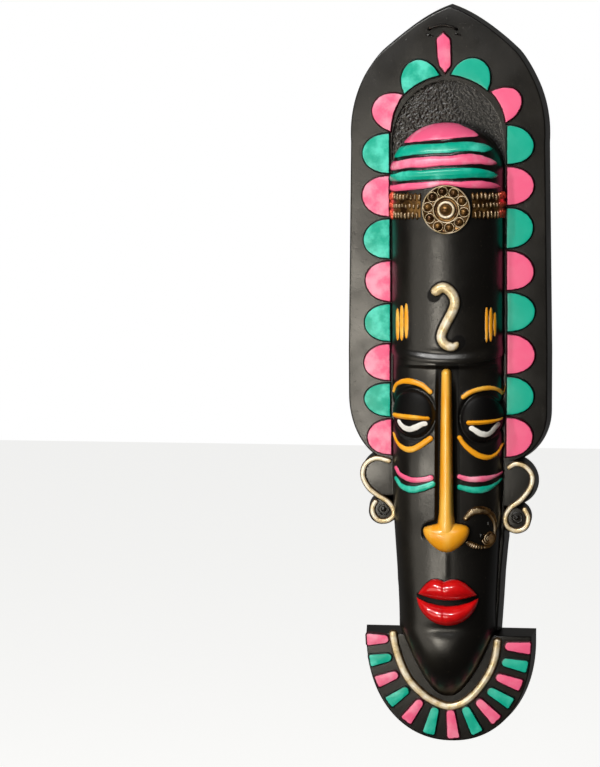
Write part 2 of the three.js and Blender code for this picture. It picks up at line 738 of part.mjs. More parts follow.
function collarWork() {
  const cord = arc(CORD.x, CORD.top, CORD.half, CORD.tall, -180, 0, 16);
  const point = ({ x, wide, tall }, degrees) => {
    const turn = THREE.MathUtils.degToRad(degrees);
    const [c, s] = [Math.cos(turn), Math.sin(turn)];
    const reach = (wide * tall) / Math.hypot(tall * c, wide * s);
    return new THREE.Vector2(x - reach * c, BARS.drop + reach * s);
  };
  const bars = steps(BARS.count - 1).map((t) => {
    const outer = mix(BARS.from, BARS.to, t) + BARS.bunch * Math.sin(Math.PI * t);
    const inner = outer + BARS.turn * Math.sin(THREE.MathUtils.degToRad(2 * outer));
    const [foot, end] = [point(BAR_INNER, inner), point(BAR_OUTER, outer)];
    const along = end.clone().sub(foot).normalize();
    const across = new THREE.Vector2(-along.y, along.x);
    const outline = [
      foot.clone().addScaledVector(across, -BAR_INNER.half),
      end.clone().addScaledVector(across, -BAR_OUTER.half),
      end.clone().addScaledVector(across, BAR_OUTER.half),
      foot.clone().addScaledVector(across, BAR_INNER.half),
      foot.clone().addScaledVector(along, -BAR_INNER.half / 2),
    ];
    return layered(outline, BAR_LEVELS);
  });
  return [ridge(cord, { wide: CORD.wide, rise: CORD.rise, ground: onPlate }), ...bars];
}

// Hanging
const HANG = { x: -4, drop: 21, half: 11.1, radius: 2, pocketDeep: 9 };
const POCKET = { top: 14, end: 46, half: 16, corner: 5 };

function hangingCuts() {
  const holes = [-1, 1].map((side) =>
    disc(HANG.x + side * HANG.half, HANG.drop, HANG.radius, [[-1, 0], [PLATE_DEPTH + 1, 0]], 12),
  );
  const { top, end, half, corner } = POCKET;
  const outline = bothSides([
    new THREE.Vector2(half - corner, end),
    new THREE.Vector2(half, end - corner),
    new THREE.Vector2(half, top + corner),
    new THREE.Vector2(half - corner, top),
  ]);
  const pocket = outline.map((p) => new THREE.Vector2(p.x + HANG.x, p.y));
  return [...holes, layered(pocket, [[-1, 0], [HANG.pocketDeep, 1]])];
}

const WIRE = { radius: 0.75, gap: 0.3, bow: 3.2, slack: 1.5, turns: 32, sides: 6 };

// A closed loop of round wire: over the front, through both holes and across the pocket behind.
function hangingWire() {
  const front = PLATE_DEPTH + WIRE.gap + WIRE.radius;
  const back = HANG.pocketDeep - WIRE.gap - WIRE.radius - WIRE.slack;
  const place = (x, out, up) => at(HANG.x + x, out, HANG.drop - up);
  const line = new THREE.CatmullRomCurve3(
    [
      place(-HANG.half, front - 2.4, 0),
      place(-HANG.half + 1.6, front, WIRE.bow * 0.3),
      place(0, front, WIRE.bow),
      place(HANG.half - 1.6, front, WIRE.bow * 0.3),
      place(HANG.half, front - 2.4, 0),
      place(HANG.half, HANG.pocketDeep + 2, 0),
      place(HANG.half, back + 1.6, 0),
      place(HANG.half - 1.8, back, 0),
      place(0, back, 1.2),
      place(-HANG.half + 1.8, back, 0),
      place(-HANG.half, back + 1.6, 0),
      place(-HANG.half, HANG.pocketDeep + 2, 0),
    ],
    true,
    "centripetal",
  );
  const { turns: count, sides } = WIRE;
  const frames = line.computeFrenetFrames(count, true);
  const points = [];
  const triangles = [];
  for (let i = 0; i < count; i++) {
    const centre = line.getPointAt(i / count);
    for (let j = 0; j < sides; j++) {
      const turn = (2 * Math.PI * j) / sides;
      points.push(
        centre
          .clone()
          .addScaledVector(frames.normals[i], WIRE.radius * Math.cos(turn))
          .addScaledVector(frames.binormals[i], WIRE.radius * Math.sin(turn)),
      );
      const [a, b] = [i * sides + j, i * sides + ((j + 1) % sides)];
      const [c, d] = [a, b].map((k) => (k + sides) % (count * sides));
      triangles.push([a, b, d], [a, d, c]);
    }
  }
  return solidOf(points, triangles);
}

// The whole mask

function maskBody() {
  const plate = unite([
    layered(boardOutline(), PLATE_LEVELS),
    ...earPlates(),
    jawPlate(),
    collarPlate(),
  ]).subtract(niche());
  const raised = [
    ...border(),
    dart(),
    ...ridgedBands(),
    ...brooch(),
    ...forehead(),
    ...eyes(),
    ...cheekStripes(),
    ...nose(),
    ...noseRing(),
    ...lips(),
    ...earScrolls(),
    ...collarWork(),
  ];
  const bare = [...sockets(), trough()].reduce((whole, cut) => whole.subtract(cut), head());
  return [hollow(), ...hangingCuts()].reduce(
    (whole, cut) => whole.subtract(cut),
    unite([plate, bare, ...raised]),
  );
}

function namedMesh(name, solid, material) {
  const { vertProperties, triVerts, numProp } = solid.getMesh();
  const corners = Array.from({ length: vertProperties.length / numProp }, (_, i) =>
    new THREE.Vector3().fromArray(vertProperties, i * numProp),
  );
  const geometry = new THREE.BufferGeometry().setFromPoints(corners);
  geometry.setIndex(new THREE.BufferAttribute(triVerts, 1));
  geometry.computeVertexNormals();
  const mesh = new THREE.Mesh(geometry, material);
  mesh.name = name;
  return mesh;
}

const clay = new THREE.MeshStandardMaterial({ color: 0x1d1a18, roughness: 0.5, metalness: 0 });
const iron = new THREE.MeshStandardMaterial({ color: 0x14130f, roughness: 0.45, metalness: 0.8 });

const wallMask = new THREE.Group();
wallMask.add(namedMesh("mask", maskBody(), clay));
wallMask.add(namedMesh("hanging_wire", hangingWire(), iron));

export default wallMask;
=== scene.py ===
# %% [markdown]
# # A painted terracotta wall mask
#
# The real thing is one pressed piece of clay about 61 cm long: a pointed board, a long
# stylised face that stands out of it, two scrolled ears and a barred collar. It was dipped in
# a satin brown-black, and its pads, bars, lips and lines were painted by hand over the clay.
#
# The lesson goes the way the maker went: the frame and the camera, the paints, the clay
# itself, and then each thing that is laid on it. Every piece is a closed mesh sunk a little
# way into the clay, as a pressed ornament is.

import math

import bmesh
import bpy
import numpy as np
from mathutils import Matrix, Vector
from mathutils.kdtree import KDTree


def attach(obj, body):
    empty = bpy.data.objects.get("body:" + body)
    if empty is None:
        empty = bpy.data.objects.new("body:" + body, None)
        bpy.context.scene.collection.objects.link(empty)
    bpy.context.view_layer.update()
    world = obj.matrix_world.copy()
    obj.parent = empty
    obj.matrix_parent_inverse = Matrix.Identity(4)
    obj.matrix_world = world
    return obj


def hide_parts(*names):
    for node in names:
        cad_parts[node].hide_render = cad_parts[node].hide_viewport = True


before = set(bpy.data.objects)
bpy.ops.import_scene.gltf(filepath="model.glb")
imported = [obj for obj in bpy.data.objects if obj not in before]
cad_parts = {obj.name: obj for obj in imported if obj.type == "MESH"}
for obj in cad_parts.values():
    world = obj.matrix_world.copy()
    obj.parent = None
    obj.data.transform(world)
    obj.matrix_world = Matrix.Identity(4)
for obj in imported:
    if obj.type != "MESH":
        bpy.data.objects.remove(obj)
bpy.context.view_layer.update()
MM = 0.001

# %% [markdown]
# ## Places on the mask
#
# A place is given as a maker would measure it: x to the right of the middle, out in front of
# the wall, and drop below the tip of the board, all in millimetres. The head leans a little to
# the right as it comes forward, so one function turns such a place into Blender's metres, and
# every piece uses it. Where x is counted from the leaning middle line of the head, the lean
# is already in the function.

# %% From x, out and drop to metres
HEIGHT = 610
BOARD_WIDTH = 168.4
PLATE_DEPTH = 22
ORIGIN_DROP = 62
HEAD_LEAN = 0.065
RIGHT_EAR_SAG = 5.5


def at(x, out, drop):
    """Metres in the frame for places in millimetres, which may be arrays."""
    x, out, drop = np.broadcast_arrays(
        np.asarray(x, float), np.asarray(out, float), np.asarray(drop, float)
    )
    lean = HEAD_LEAN * np.maximum(0, out - PLATE_DEPTH)
    return np.stack([x + lean, -out, ORIGIN_DROP - drop], axis=-1) * MM


def ease(t):
    t = np.clip(t, 0, 1)
    return t * t * (3 - 2 * t)


def hump(v, centre, wide):
    """A soft bump: 1 at the centre and nearly 0 at twice the width."""
    return np.exp(-(((v - centre) / wide) ** 2))


def stretch(v, start, end, fade_in, fade_out):
    """1 between start and end, eased in after the start and out before the end."""
    return ease((v - start) / fade_in) * ease((end - v) / fade_out)


def mix(a, b, t):
    return a + (b - a) * t


print("the tip is at", at(0, 0, 0), "and the foot of the collar at", at(0, 0, HEIGHT))

# %% [markdown]
# ## Camera
#
# The photograph was taken from about two metres, a little to the right of the mask and a
# little above it. The mask stands right of the middle of the picture, so the lens is shifted
# sideways, which keeps the upright lines upright.

# %% The camera
AZIMUTH, ELEVATION, DISTANCE = 6.0, 6.5, 2.1
PICTURE_WIDE, PICTURE_TALL = 600, 767
FOCAL_PIXELS = 2565.7
SENSOR = 36.0
FAR_CLIP = 50
TARGET = Vector((0.0, -0.022, -0.243))
TARGET_PIXEL = (447.7, 379.3)


def add_object(name, data):
    made = bpy.data.objects.new(name, data)
    bpy.context.collection.objects.link(made)
    return made


def aim(thing, azimuth, elevation, distance):
    """Stands a camera or a lamp off the target and turns it to look there."""
    az, el = math.radians(azimuth), math.radians(elevation)
    back = Vector((math.sin(az) * math.cos(el), -math.cos(az) * math.cos(el), math.sin(el)))
    thing.location = TARGET + back * distance
    thing.rotation_euler = back.to_track_quat("Z", "Y").to_euler()


def add_camera():
    data = bpy.data.cameras.new("camera")
    data.sensor_fit = "VERTICAL"
    data.sensor_height = SENSOR
    data.lens = FOCAL_PIXELS / PICTURE_TALL * SENSOR
    data.shift_x = (PICTURE_WIDE / 2 - TARGET_PIXEL[0]) / PICTURE_TALL
    data.shift_y = (TARGET_PIXEL[1] - PICTURE_TALL / 2) / PICTURE_TALL
    data.clip_end = FAR_CLIP
    camera = add_object("camera", data)
    aim(camera, AZIMUTH, ELEVATION, DISTANCE)
    bpy.context.scene.camera = camera
    return camera


camera = add_camera()
print("a lens of", round(camera.data.lens, 1), "mm, shifted by", round(camera.data.shift_x, 3))

# %% [markdown]
# ## Adding nodes
#
# Blender builds the backdrop, the materials and the Geometry Nodes trees from the same kind of
# node. One helper adds a node to any tree, changes its settings, and fills its inputs: a socket
# is linked, and a plain value is set.

# %% A helper for every node tree
def feed(tree, socket, value):
    if isinstance(value, bpy.types.NodeSocket):
        tree.links.new(value, socket)
    else:
        socket.default_value = value


def add_node(tree, kind, inputs=(), **settings):
    made = tree.nodes.new(kind)
    for name, value in settings.items():
        setattr(made, name, value)
    for socket, value in inputs:
        feed(tree, made.inputs[socket], value)
    return made


print("add_node serves the backdrop, the materials and the geometry trees")

# %% [markdown]
# ## Light, backdrop and floor
#
# A white studio. Satin black clay shows its lights more than its colour, so each soft box has
# its own work. A warm one low on the left is mirrored by the left of the board and runs down
# the forehead as a grey streak, and a faint one beyond it fills the side of the head. Three
# small ones high up light the paint, and come back as bright points on the lips.
# The white sweep behind the mask only reaches its side walls. The mask would hang on a wall,
# and the photograph shows none, so only a pale floor lies under it.

# %% The studio
FLOOR_DROP = 1.15
FLOOR_HALF = 6.0
SWEEP_LIGHT = 0.11
ROOM_LIGHT = 0.03
BOX_DISTANCE = 2.2
WARM, NEUTRAL = (1, 0.93, 0.8), (1, 0.985, 0.96)
SWEEP_FROM, SWEEP_TO = -0.05, 0.3  # how far back a direction points where the sweep begins, ends
FLOOR_PAINT = {
    "Base Color": (0.9, 0.9, 0.89, 1), "Roughness": 0.8,
    "Emission Color": (1, 1, 0.99, 1), "Emission Strength": 0.8,
}
SOFT_BOXES = [  # name, azimuth, elevation, width and height in metres, watts, colour
    ("low left box", -17.4, -7.6, (0.54, 0.42), 14.5, WARM),
    ("far left box", -46, -12, (1.2, 1.2), 8, WARM),
    ("high box 1", -40, 36, (0.12, 0.15), 14, NEUTRAL),
    ("high box 2", -21, 34, (0.12, 0.15), 14, NEUTRAL),
    ("high box 3", -3, 36, (0.12, 0.15), 10, NEUTRAL),
]


def soft_box(name, azimuth, elevation, size, power, colour):
    light = bpy.data.lights.new(name, "AREA")
    light.color = colour
    light.shape = "RECTANGLE"
    light.size, light.size_y = size
    light.energy = power
    aim(add_object(name, light), azimuth, elevation, BOX_DISTANCE)


def add_world():
    """White to the camera. For light it is the sweep behind the mask and a dark room before it."""
    world = bpy.data.worlds.new("studio")
    world.use_nodes = True
    tree = world.node_tree
    tree.nodes.clear()
    way = add_node(tree, "ShaderNodeTexCoord").outputs["Generated"]
    parts = add_node(tree, "ShaderNodeSeparateXYZ", [(0, way)])
    behind = add_node(tree, "ShaderNodeMapRange", [
        ("Value", parts.outputs["Y"]), ("From Min", SWEEP_FROM), ("From Max", SWEEP_TO),
        ("To Min", ROOM_LIGHT), ("To Max", SWEEP_LIGHT)])
    seen = add_node(tree, "ShaderNodeBackground", [("Color", (1, 1, 1, 1))])
    room = add_node(tree, "ShaderNodeBackground", [
        ("Color", (*NEUTRAL, 1)), ("Strength", behind.outputs[0])])
    path = add_node(tree, "ShaderNodeLightPath")
    blend = add_node(tree, "ShaderNodeMixShader", [
        (0, path.outputs["Is Camera Ray"]), (1, room.outputs[0]), (2, seen.outputs[0])])
    add_node(tree, "ShaderNodeOutputWorld", [("Surface", blend.outputs[0])])
    bpy.context.scene.world = world
    bpy.context.scene.view_settings.view_transform = "Standard"


def add_floor():
    data = bpy.data.meshes.new("floor")
    half, z = FLOOR_HALF, -FLOOR_DROP
    corners = [(-half, -half, z), (half, -half, z), (half, half, z), (-half, half, z)]
    data.from_pydata(corners, [], [(0, 1, 2, 3)])
    floor = add_object("floor", data)
    paint = bpy.data.materials.new("pale floor")
    paint.use_nodes = True
    shader = paint.node_tree.nodes["Principled BSDF"]
    for socket, value in FLOOR_PAINT.items():
        shader.inputs[socket].default_value = value
    data.materials.append(paint)
    floor.visible_diffuse = floor.visible_glossy = False


add_world()
for box in SOFT_BOXES:
    soft_box(*box)
add_floor()
print(len(SOFT_BOXES), "soft boxes, a pale floor", FLOOR_DROP, "m under the hanging point")

# %% [markdown]
# ## Building materials from nodes
#
# Hand-painted clay has the same habits everywhere: the colour is a little uneven, brush marks
# run through it, the clay has pits, and the colour thins at an edge. A small class keeps the
# node wiring short, so each finish below can be read as a recipe. Numbers for noise are its
# scale a metre, and numbers for bump are its depth in millimetres and its strength.

# %% A helper for node recipes
class Recipe:
    """One material, with short calls that add a node and give back its output."""

    def __init__(self, name, roughness, metallic=0.0, specular=0.5, coat=0.0, coat_rough=0.12):
        self.material = bpy.data.materials.new(name)
        self.material.use_nodes = True
        self.tree = self.material.node_tree
        self.shader = self.tree.nodes["Principled BSDF"]
        self.set("Roughness", roughness)
        self.set("Metallic", metallic)
        self.set("Specular IOR Level", specular)
        self.set("Coat Weight", coat)
        self.set("Coat Roughness", coat_rough)
        self.coordinates = self.tree.nodes.new("ShaderNodeTexCoord").outputs["Object"]

    def set(self, socket, value):
        feed(self.tree, self.shader.inputs[socket], value)

    def node(self, kind, inputs=(), **settings):
        return add_node(self.tree, kind, inputs, **settings)

    def noise(self, scale, detail=4.0, stretch=(1, 1, 1)):
        place = self.node("ShaderNodeMapping", [
            ("Vector", self.coordinates), ("Scale", stretch)]).outputs[0]
        return self.node("ShaderNodeTexNoise", [
            ("Vector", place), ("Scale", scale), ("Detail", detail), ("Roughness", 0.55),
        ]).outputs["Fac"]

    def pits(self, scale):
        return self.node("ShaderNodeTexVoronoi", [
            ("Vector", self.coordinates), ("Scale", scale)]).outputs["Distance"]

    def span(self, value, low, high, to_low=0.0, to_high=1.0):
        """Turns a value between low and high softly into one between two others."""
        inputs = [(0, value), (1, low), (2, high), (3, to_low), (4, to_high)]
        return self.node("ShaderNodeMapRange", inputs, interpolation_type="SMOOTHSTEP").outputs[0]

    def math(self, operation, a, b=0.0):
        return self.node("ShaderNodeMath", [(0, a), (1, b)], operation=operation).outputs[0]

    def blend(self, share, a, b):
        colours = [(*c, 1.0) if isinstance(c, tuple) else c for c in (a, b)]
        made = self.node("ShaderNodeMix", [(0, share), (6, colours[0]), (7, colours[1])],
                         data_type="RGBA")
        return made.outputs[2]

    def attribute(self, name):
        return self.node("ShaderNodeAttribute", attribute_name=name).outputs["Fac"]

    def wavering(self, value, scale, detail, amount):
        """A value that a noise raises here and there, so that an edge at it isn't ruled."""
        return self.math("ADD", value, self.math("MULTIPLY", self.noise(scale, detail), amount))

    def bump(self, height, distance, strength=1.0, over=None):
        inputs = [("Height", height), ("Distance", distance * MM), ("Strength", strength)]
        if over is not None:
            inputs.append(("Normal", over))
        out = self.node("ShaderNodeBump", inputs).outputs[0]
        self.set("Normal", out)
        return out


def srgb(red, green, blue):
    """The linear colour of a paint named by its 0 to 255 values."""
    return tuple((v / 255 / 12.92) if v <= 10 else ((v / 255 + 0.055) / 1.055) ** 2.4
                 for v in (red, green, blue))


PINK = srgb(250, 100, 144)
PALE_PINK = srgb(255, 164, 190)
TEAL = srgb(0, 176, 148)
PALE_TEAL = srgb(88, 226, 202)
OCHRE = srgb(250, 168, 26)
PALE_OCHRE = srgb(255, 202, 88)
RED = srgb(206, 6, 12)
WHITE = srgb(250, 250, 246)
CLAY = srgb(14, 12, 10)
DUSTY_CLAY = srgb(30, 27, 22)
MAROON = srgb(58, 6, 22)
BOTTLE = srgb(4, 30, 26)
BLACK = srgb(8, 7, 7)
print("thirteen colours, such as pink", [round(v, 3) for v in PINK])

# %% [markdown]
# ## The clay and its painted lines
#
# The head's painted lines aren't separate pieces. Brow arcs, lids, stripes and bands are
# colour brushed on the clay, so their shapes are kept on the mesh as attributes: at each
# point of the clay an attribute says how many millimetres it lies inside a stroke of that
# colour. The material turns it into paint where it is above zero, with a wavering edge and a
# dark line round it, as sharp as the mesh is fine.

# %% The head's material
HEAD_PAINTS = ("pink", "teal", "ochre", "white", "black")


def clay_ground(recipe):
    """Brown-black satin clay with dusty patches, specks and fine pits."""
    cloud = recipe.noise(9, 5)
    ground = recipe.blend(recipe.span(cloud, 0.42, 0.7), CLAY, DUSTY_CLAY)
    specks = recipe.span(recipe.noise(620, 2), 0.68, 0.8)
    return recipe.blend(recipe.math("MULTIPLY", specks, 0.4), ground, srgb(92, 84, 74))


def clay_bump(recipe, extra=None):
    skin = recipe.bump(recipe.noise(70, 5), 0.45, 0.35)
    pits = recipe.span(recipe.pits(300), 0.0, 0.16)
    grain = recipe.bump(recipe.noise(480, 3), 0.12, 0.45, over=skin)
    last = recipe.bump(pits, 0.14, 0.5, over=grain)
    if extra is not None:
        last = recipe.bump(extra, 0.35, 0.8, over=last)
    return last


def head_material():
    recipe = Recipe("painted clay", 0.3, specular=0.5)
    colour = clay_ground(recipe)
    waver = recipe.math("MULTIPLY", recipe.math("SUBTRACT", recipe.noise(220, 3), 0.5), 0.7)
    brush = recipe.noise(60, 4)
    fields = {
        name: recipe.math("ADD", recipe.attribute(name), waver) for name in HEAD_PAINTS
    }
    near = fields["pink"]
    for name in ("teal", "ochre"):
        near = recipe.math("MAXIMUM", near, fields[name])
    colour = recipe.blend(recipe.span(near, -1.5, -0.5), colour, BLACK)
    shades = {
        "black": (BLACK, BLACK),
        "pink": (PINK, PALE_PINK),
        "teal": (TEAL, PALE_TEAL),
        "ochre": (OCHRE, PALE_OCHRE),
        "white": (WHITE, srgb(214, 214, 208)),
    }
    for name, (full, pale) in shades.items():
        paint = recipe.blend(recipe.span(brush, 0.45, 0.75), full, pale)
        colour = recipe.blend(recipe.span(fields[name], -0.3, 0.3), colour, paint)
    recipe.set("Base Color", colour)
    dull = recipe.span(fields["black"], -0.3, 0.9, 0.0, 0.2)
    gloss = recipe.span(fields["black"], -0.3, 0.9, 0.5, 0.14)
    recipe.set("Specular IOR Level", gloss)
    satin = recipe.span(recipe.noise(30, 4), 0.3, 0.7, 0.28, 0.36)
    recipe.set("Roughness", recipe.math("ADD", satin, dull))
    painted = recipe.span(recipe.math("MAXIMUM", near, fields["white"]), -0.3, 0.3)
    clay_bump(recipe, painted)
    return recipe.material


painted_clay = head_material()
print("the head's paints:", ", ".join(HEAD_PAINTS))

# %% [markdown]
# ## Other finishes
#
# The pads and bars are thick glossy paint on a raised bed, and the maker drew a dark line of
# maroon or bottle green round each. Their attribute named rim says how far a point is from
# the edge of its bed, and a second one pales the paint as a painted highlight, most on the
# left where the light falls. The metal paint is a brown bronze that turns to pale gold, and
# the turn is painted light: pale gold as a painted highlight on what faces the front, and
# bronze as painted shade on the flanks and in the hollows.


# %% Pads, gold, lacquer and wire
def pad_material(name, full, pale, line):
    recipe = Recipe(name, 0.34, specular=0.28)
    tint = recipe.noise(75, 5)
    # painted highlight: the pale paint shows only as far as this attribute lets it, most on the lit
    # left
    left = recipe.attribute("painted_sheen")
    paint = recipe.blend(recipe.math("MULTIPLY", recipe.span(tint, 0.36, 0.68), left), full, pale)
    edge = recipe.wavering(recipe.attribute("rim"), 240, 2, 0.7)
    recipe.set("Base Color", recipe.blend(recipe.span(edge, 1.7, 2.1), line, paint))
    skin = recipe.bump(recipe.noise(60, 3), 0.4, 0.4)
    recipe.bump(recipe.noise(300, 3), 0.06, 0.4, over=skin)
    return recipe.material


def gold_material():
    recipe = Recipe("gold paint", 0.32, metallic=0.9)
    worn = recipe.noise(150, 5)
    # painted light: pale gold is a painted highlight on faces turned to the front, bronze painted
    # shade on the flanks
    painted_light = recipe.attribute("painted_light")
    bronze = recipe.blend(recipe.span(worn, 0.4, 0.65), srgb(66, 42, 20), srgb(128, 94, 48))
    gold = recipe.blend(recipe.span(worn, 0.35, 0.7), srgb(228, 202, 150), srgb(255, 246, 226))
    metal = recipe.blend(recipe.span(painted_light, 0.2, 0.9), bronze, gold)
    recipe.set("Base Color", recipe.blend(recipe.attribute("coral"), metal, srgb(232, 92, 66)))
    recipe.set("Metallic", recipe.span(painted_light, 0.15, 0.7, 0.7, 0.2))
    recipe.set("Roughness", recipe.span(worn, 0.3, 0.7, 0.24, 0.4))
    recipe.bump(recipe.noise(420, 3), 0.12, 0.5)
    return recipe.material


def lacquer_material():
    recipe = Recipe("red lacquer", 0.24, specular=0.45, coat=0.7, coat_rough=0.05)
    tint = recipe.noise(90, 4)
    paint = recipe.blend(recipe.span(tint, 0.35, 0.7), RED, srgb(226, 20, 22))
    edge = recipe.wavering(recipe.attribute("rim"), 260, 3, 0.8)
    recipe.set("Base Color", recipe.blend(recipe.span(edge, 0.5, 1.3), BLACK, paint))
    recipe.bump(tint, 0.12, 0.3)
    return recipe.material


def nose_material():
    recipe = Recipe("ochre paint", 0.34, specular=0.5, coat=0.25)
    tint = recipe.noise(40, 4, (2, 1, 0.5))
    paint = recipe.blend(recipe.span(tint, 0.35, 0.7), OCHRE, PALE_OCHRE)
    edge = recipe.wavering(recipe.attribute("rim"), 260, 3, 0.6)
    recipe.set("Base Color", recipe.blend(recipe.span(edge, 0.3, 0.9), BLACK, paint))
    recipe.bump(recipe.noise(80, 4), 0.3, 0.4)
    return recipe.material


def plain_clay_material():
    recipe = Recipe("bare clay", 0.3, specular=0.5)
    recipe.set("Base Color", clay_ground(recipe))
    recipe.set("Roughness", recipe.span(recipe.noise(30, 4), 0.3, 0.7, 0.25, 0.34))
    clay_bump(recipe)
    return recipe.material


def niche_material():
    recipe = Recipe("rough clay", 0.34, specular=0.5)
    # painted shade: the stipple's pits are painted darker and its grains lighter
    painted_light = recipe.attribute("painted_light")
    ground = recipe.blend(painted_light, srgb(9, 7, 6), srgb(33, 28, 23))
    line = recipe.span(recipe.attribute("rim"), 0.5, 1.6)
    recipe.set("Base Color", recipe.blend(line, BLACK, ground))
    recipe.bump(recipe.noise(900, 3), 0.3, 0.6)
    return recipe.material


def wire_material():
    recipe = Recipe("blackened wire", 0.4, metallic=0.8)
    rust = recipe.span(recipe.noise(700, 4), 0.55, 0.75)
    recipe.set("Base Color", recipe.blend(rust, srgb(34, 32, 30), srgb(74, 52, 38)))
    recipe.bump(recipe.noise(1500, 3), 0.05, 0.5)
    return recipe.material


pink_pad = pad_material("pink paint", PINK, PALE_PINK, MAROON)
teal_pad = pad_material("teal paint", TEAL, PALE_TEAL, BOTTLE)
gold_paint = gold_material()
red_lacquer = lacquer_material()
ochre_paint = nose_material()
bare_clay = plain_clay_material()
rough_clay = niche_material()
black_wire = wire_material()
print("eight more finishes")

# %% [markdown]
# ## Making and handing over a piece
#
# Each piece is written straight as a closed mesh from arrays of points, because its size is
# known to a tenth of a millimetre. One function finishes it: normals outwards, smooth shading
# with creases kept, its material, and the frame's calls that say it rides with the mask and
# stands for the solid's part.


# %% From arrays to a finished piece
def set_values(data, name, numbers):
    """Writes an attribute of a mesh, one number a point."""
    layer = data.attributes.get(name) or data.attributes.new(name, "FLOAT", "POINT")
    layer.data.foreach_set("value", np.asarray(numbers, np.float32))


def vertex_rows(data, key):
    """The places or the normals of a mesh's points, a row each."""
    flat = np.zeros(len(data.vertices) * 3)
    data.vertices.foreach_get(key, flat)
    return flat.reshape(-1, 3)


def new_mesh(name, points, faces, values=None, crease=40):
    """A mesh object of points in metres. Values are attributes, one number a point."""
    data = bpy.data.meshes.new(name)
    data.from_pydata(np.asarray(points).tolist(), [], faces)
    for key, numbers in (values or {}).items():
        set_values(data, key, numbers)
    body = bmesh.new()
    body.from_mesh(data)
    bmesh.ops.recalc_face_normals(body, faces=body.faces)
    body.to_mesh(data)
    body.free()
    smooth(data, crease)
    return add_object(name, data)


def smooth(data, crease):
    """Smooth shading that stays sharp where faces meet at more than crease degrees."""
    data.polygons.foreach_set("use_smooth", np.ones(len(data.polygons), bool))
    data.set_sharp_from_angle(angle=math.radians(crease))


def hand_over(piece, material, node="mask"):
    """Gives a piece its material and tells the frame what it rides on and stands for."""
    piece.data.materials.clear()
    piece.data.materials.append(material)
    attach(piece, "root")
    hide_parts(node)
    piece.data.calc_loop_triangles()
    size = [round(v / MM) for v in piece.dimensions]
    print(f"{piece.name}: {len(piece.data.loop_triangles)} triangles, {size} mm")
    return piece


def grid_faces(rows, columns, ring=False, first=0):
    """Quads between rows of points; a ring's last column joins its first."""
    faces = []
    for r in range(rows - 1):
        for c in range(columns if ring else columns - 1):
            d = (c + 1) % columns
            a, b = first + r * columns, first + (r + 1) * columns
            faces.append((a + c, a + d, b + d, b + c))
    return faces


def slab_faces(rows, columns):
    """A grid of points in front, its twin behind it, and a wall round both."""
    count = rows * columns
    faces = grid_faces(rows, columns)
    faces += [face[::-1] for face in grid_faces(rows, columns, first=count)]
    border = [*range(columns), *range(2 * columns - 1, count, columns),
              *range(count - 2, count - columns - 1, -1),
              *range(count - 2 * columns, 0, -columns)]
    for a, b in zip(border, border[1:] + border[:1]):
        faces.append((a, b, b + count, a + count))
    return faces


def loft(rings):
    """Points and faces of a closed solid through rings of equal length, its ends fanned."""
    count, n = len(rings), len(rings[0])
    points = np.concatenate([*rings, [rings[0].mean(0)], [rings[-1].mean(0)]])
    faces = grid_faces(count, n, ring=True)
    last = (count - 1) * n
    for c in range(n):
        d = (c + 1) % n
        faces.append((d, c, count * n))
        faces.append((last + c, last + d, count * n + 1))
    return points, faces


def join(parts):
    """One set of points, faces and values out of several."""
    points, faces, values = [], [], {}
    shift = 0
    for part_points, part_faces, part_values in parts:
        points.append(part_points)
        faces += [tuple(i + shift for i in face) for face in part_faces]
        for key, numbers in part_values.items():
            values.setdefault(key, []).append(np.broadcast_to(numbers, len(part_points)))
        shift += len(part_points)
    return np.concatenate(points), faces, {k: np.concatenate(v) for k, v in values.items()}


print("helpers for closed meshes are ready")

# %% [markdown]
# ## Curves and strokes
#
# Most of the painted and raised lines follow a soft curve through a few measured points. A
# Catmull-Rom spline passes through each of them. For the paint, the distance from every point
# of the clay to that curve is worked out at once with arrays.


# %% Splines and the distance to a stroke
OUTSIDE = -9.0  # millimetres inside a stroke, where nothing is painted


def run_along(line):
    """How far along a line each of its points is."""
    return np.concatenate([[0], np.cumsum(np.linalg.norm(np.diff(line, axis=0), axis=1))])


def spline(knots, count):
    """Evenly spaced points on a smooth curve through the knots."""
    knots = np.asarray(knots, float)
    padded = np.vstack([2 * knots[0] - knots[1], knots, 2 * knots[-1] - knots[-2]])
    fine = []
    for a, b, c, d in zip(padded, padded[1:], padded[2:], padded[3:]):
        t = np.linspace(0, 1, 24, endpoint=False)[:, None]
        fine.append(0.5 * (2 * b + (c - a) * t + (2 * a - 5 * b + 4 * c - d) * t**2
                           + (3 * b - a - 3 * c + d) * t**3))
    fine = np.vstack([*fine, knots[-1:]])
    return respaced(fine, count)


def respaced(line, count):
    run = run_along(line)
    wanted = np.linspace(0, run[-1], count)
    return np.stack([np.interp(wanted, run, line[:, k]) for k in range(line.shape[1])], axis=1)


def inside_stroke(x, drop, line, half_width):
    """How far each place lies inside a brush stroke along the line, negative outside it."""
    widths = np.broadcast_to(half_width, len(line)).astype(float)
    inside = np.full(x.shape, OUTSIDE)
    reach = widths.max() + 3
    near = ((x > line[:, 0].min() - reach) & (x < line[:, 0].max() + reach)
            & (drop > line[:, 1].min() - reach) & (drop < line[:, 1].max() + reach))
    px, pd = x[near], drop[near]
    best = inside[near]
    for a, b, wa, wb in zip(line, line[1:], widths, widths[1:]):
        run = b - a
        t = np.clip(((px - a[0]) * run[0] + (pd - a[1]) * run[1]) / (run @ run), 0, 1)
        gap = np.hypot(px - a[0] - t * run[0], pd - a[1] - t * run[1])
        best = np.maximum(best, mix(wa, wb, t) - gap)
    inside[near] = best
    return inside


def swelling(count, start, middle, end):
    """Half widths along a stroke that is fullest in its middle."""
    t = np.linspace(0, 1, count)
    return np.where(t < 0.5, mix(start, middle, ease(t * 2)), mix(middle, end, ease(t * 2 - 1)))


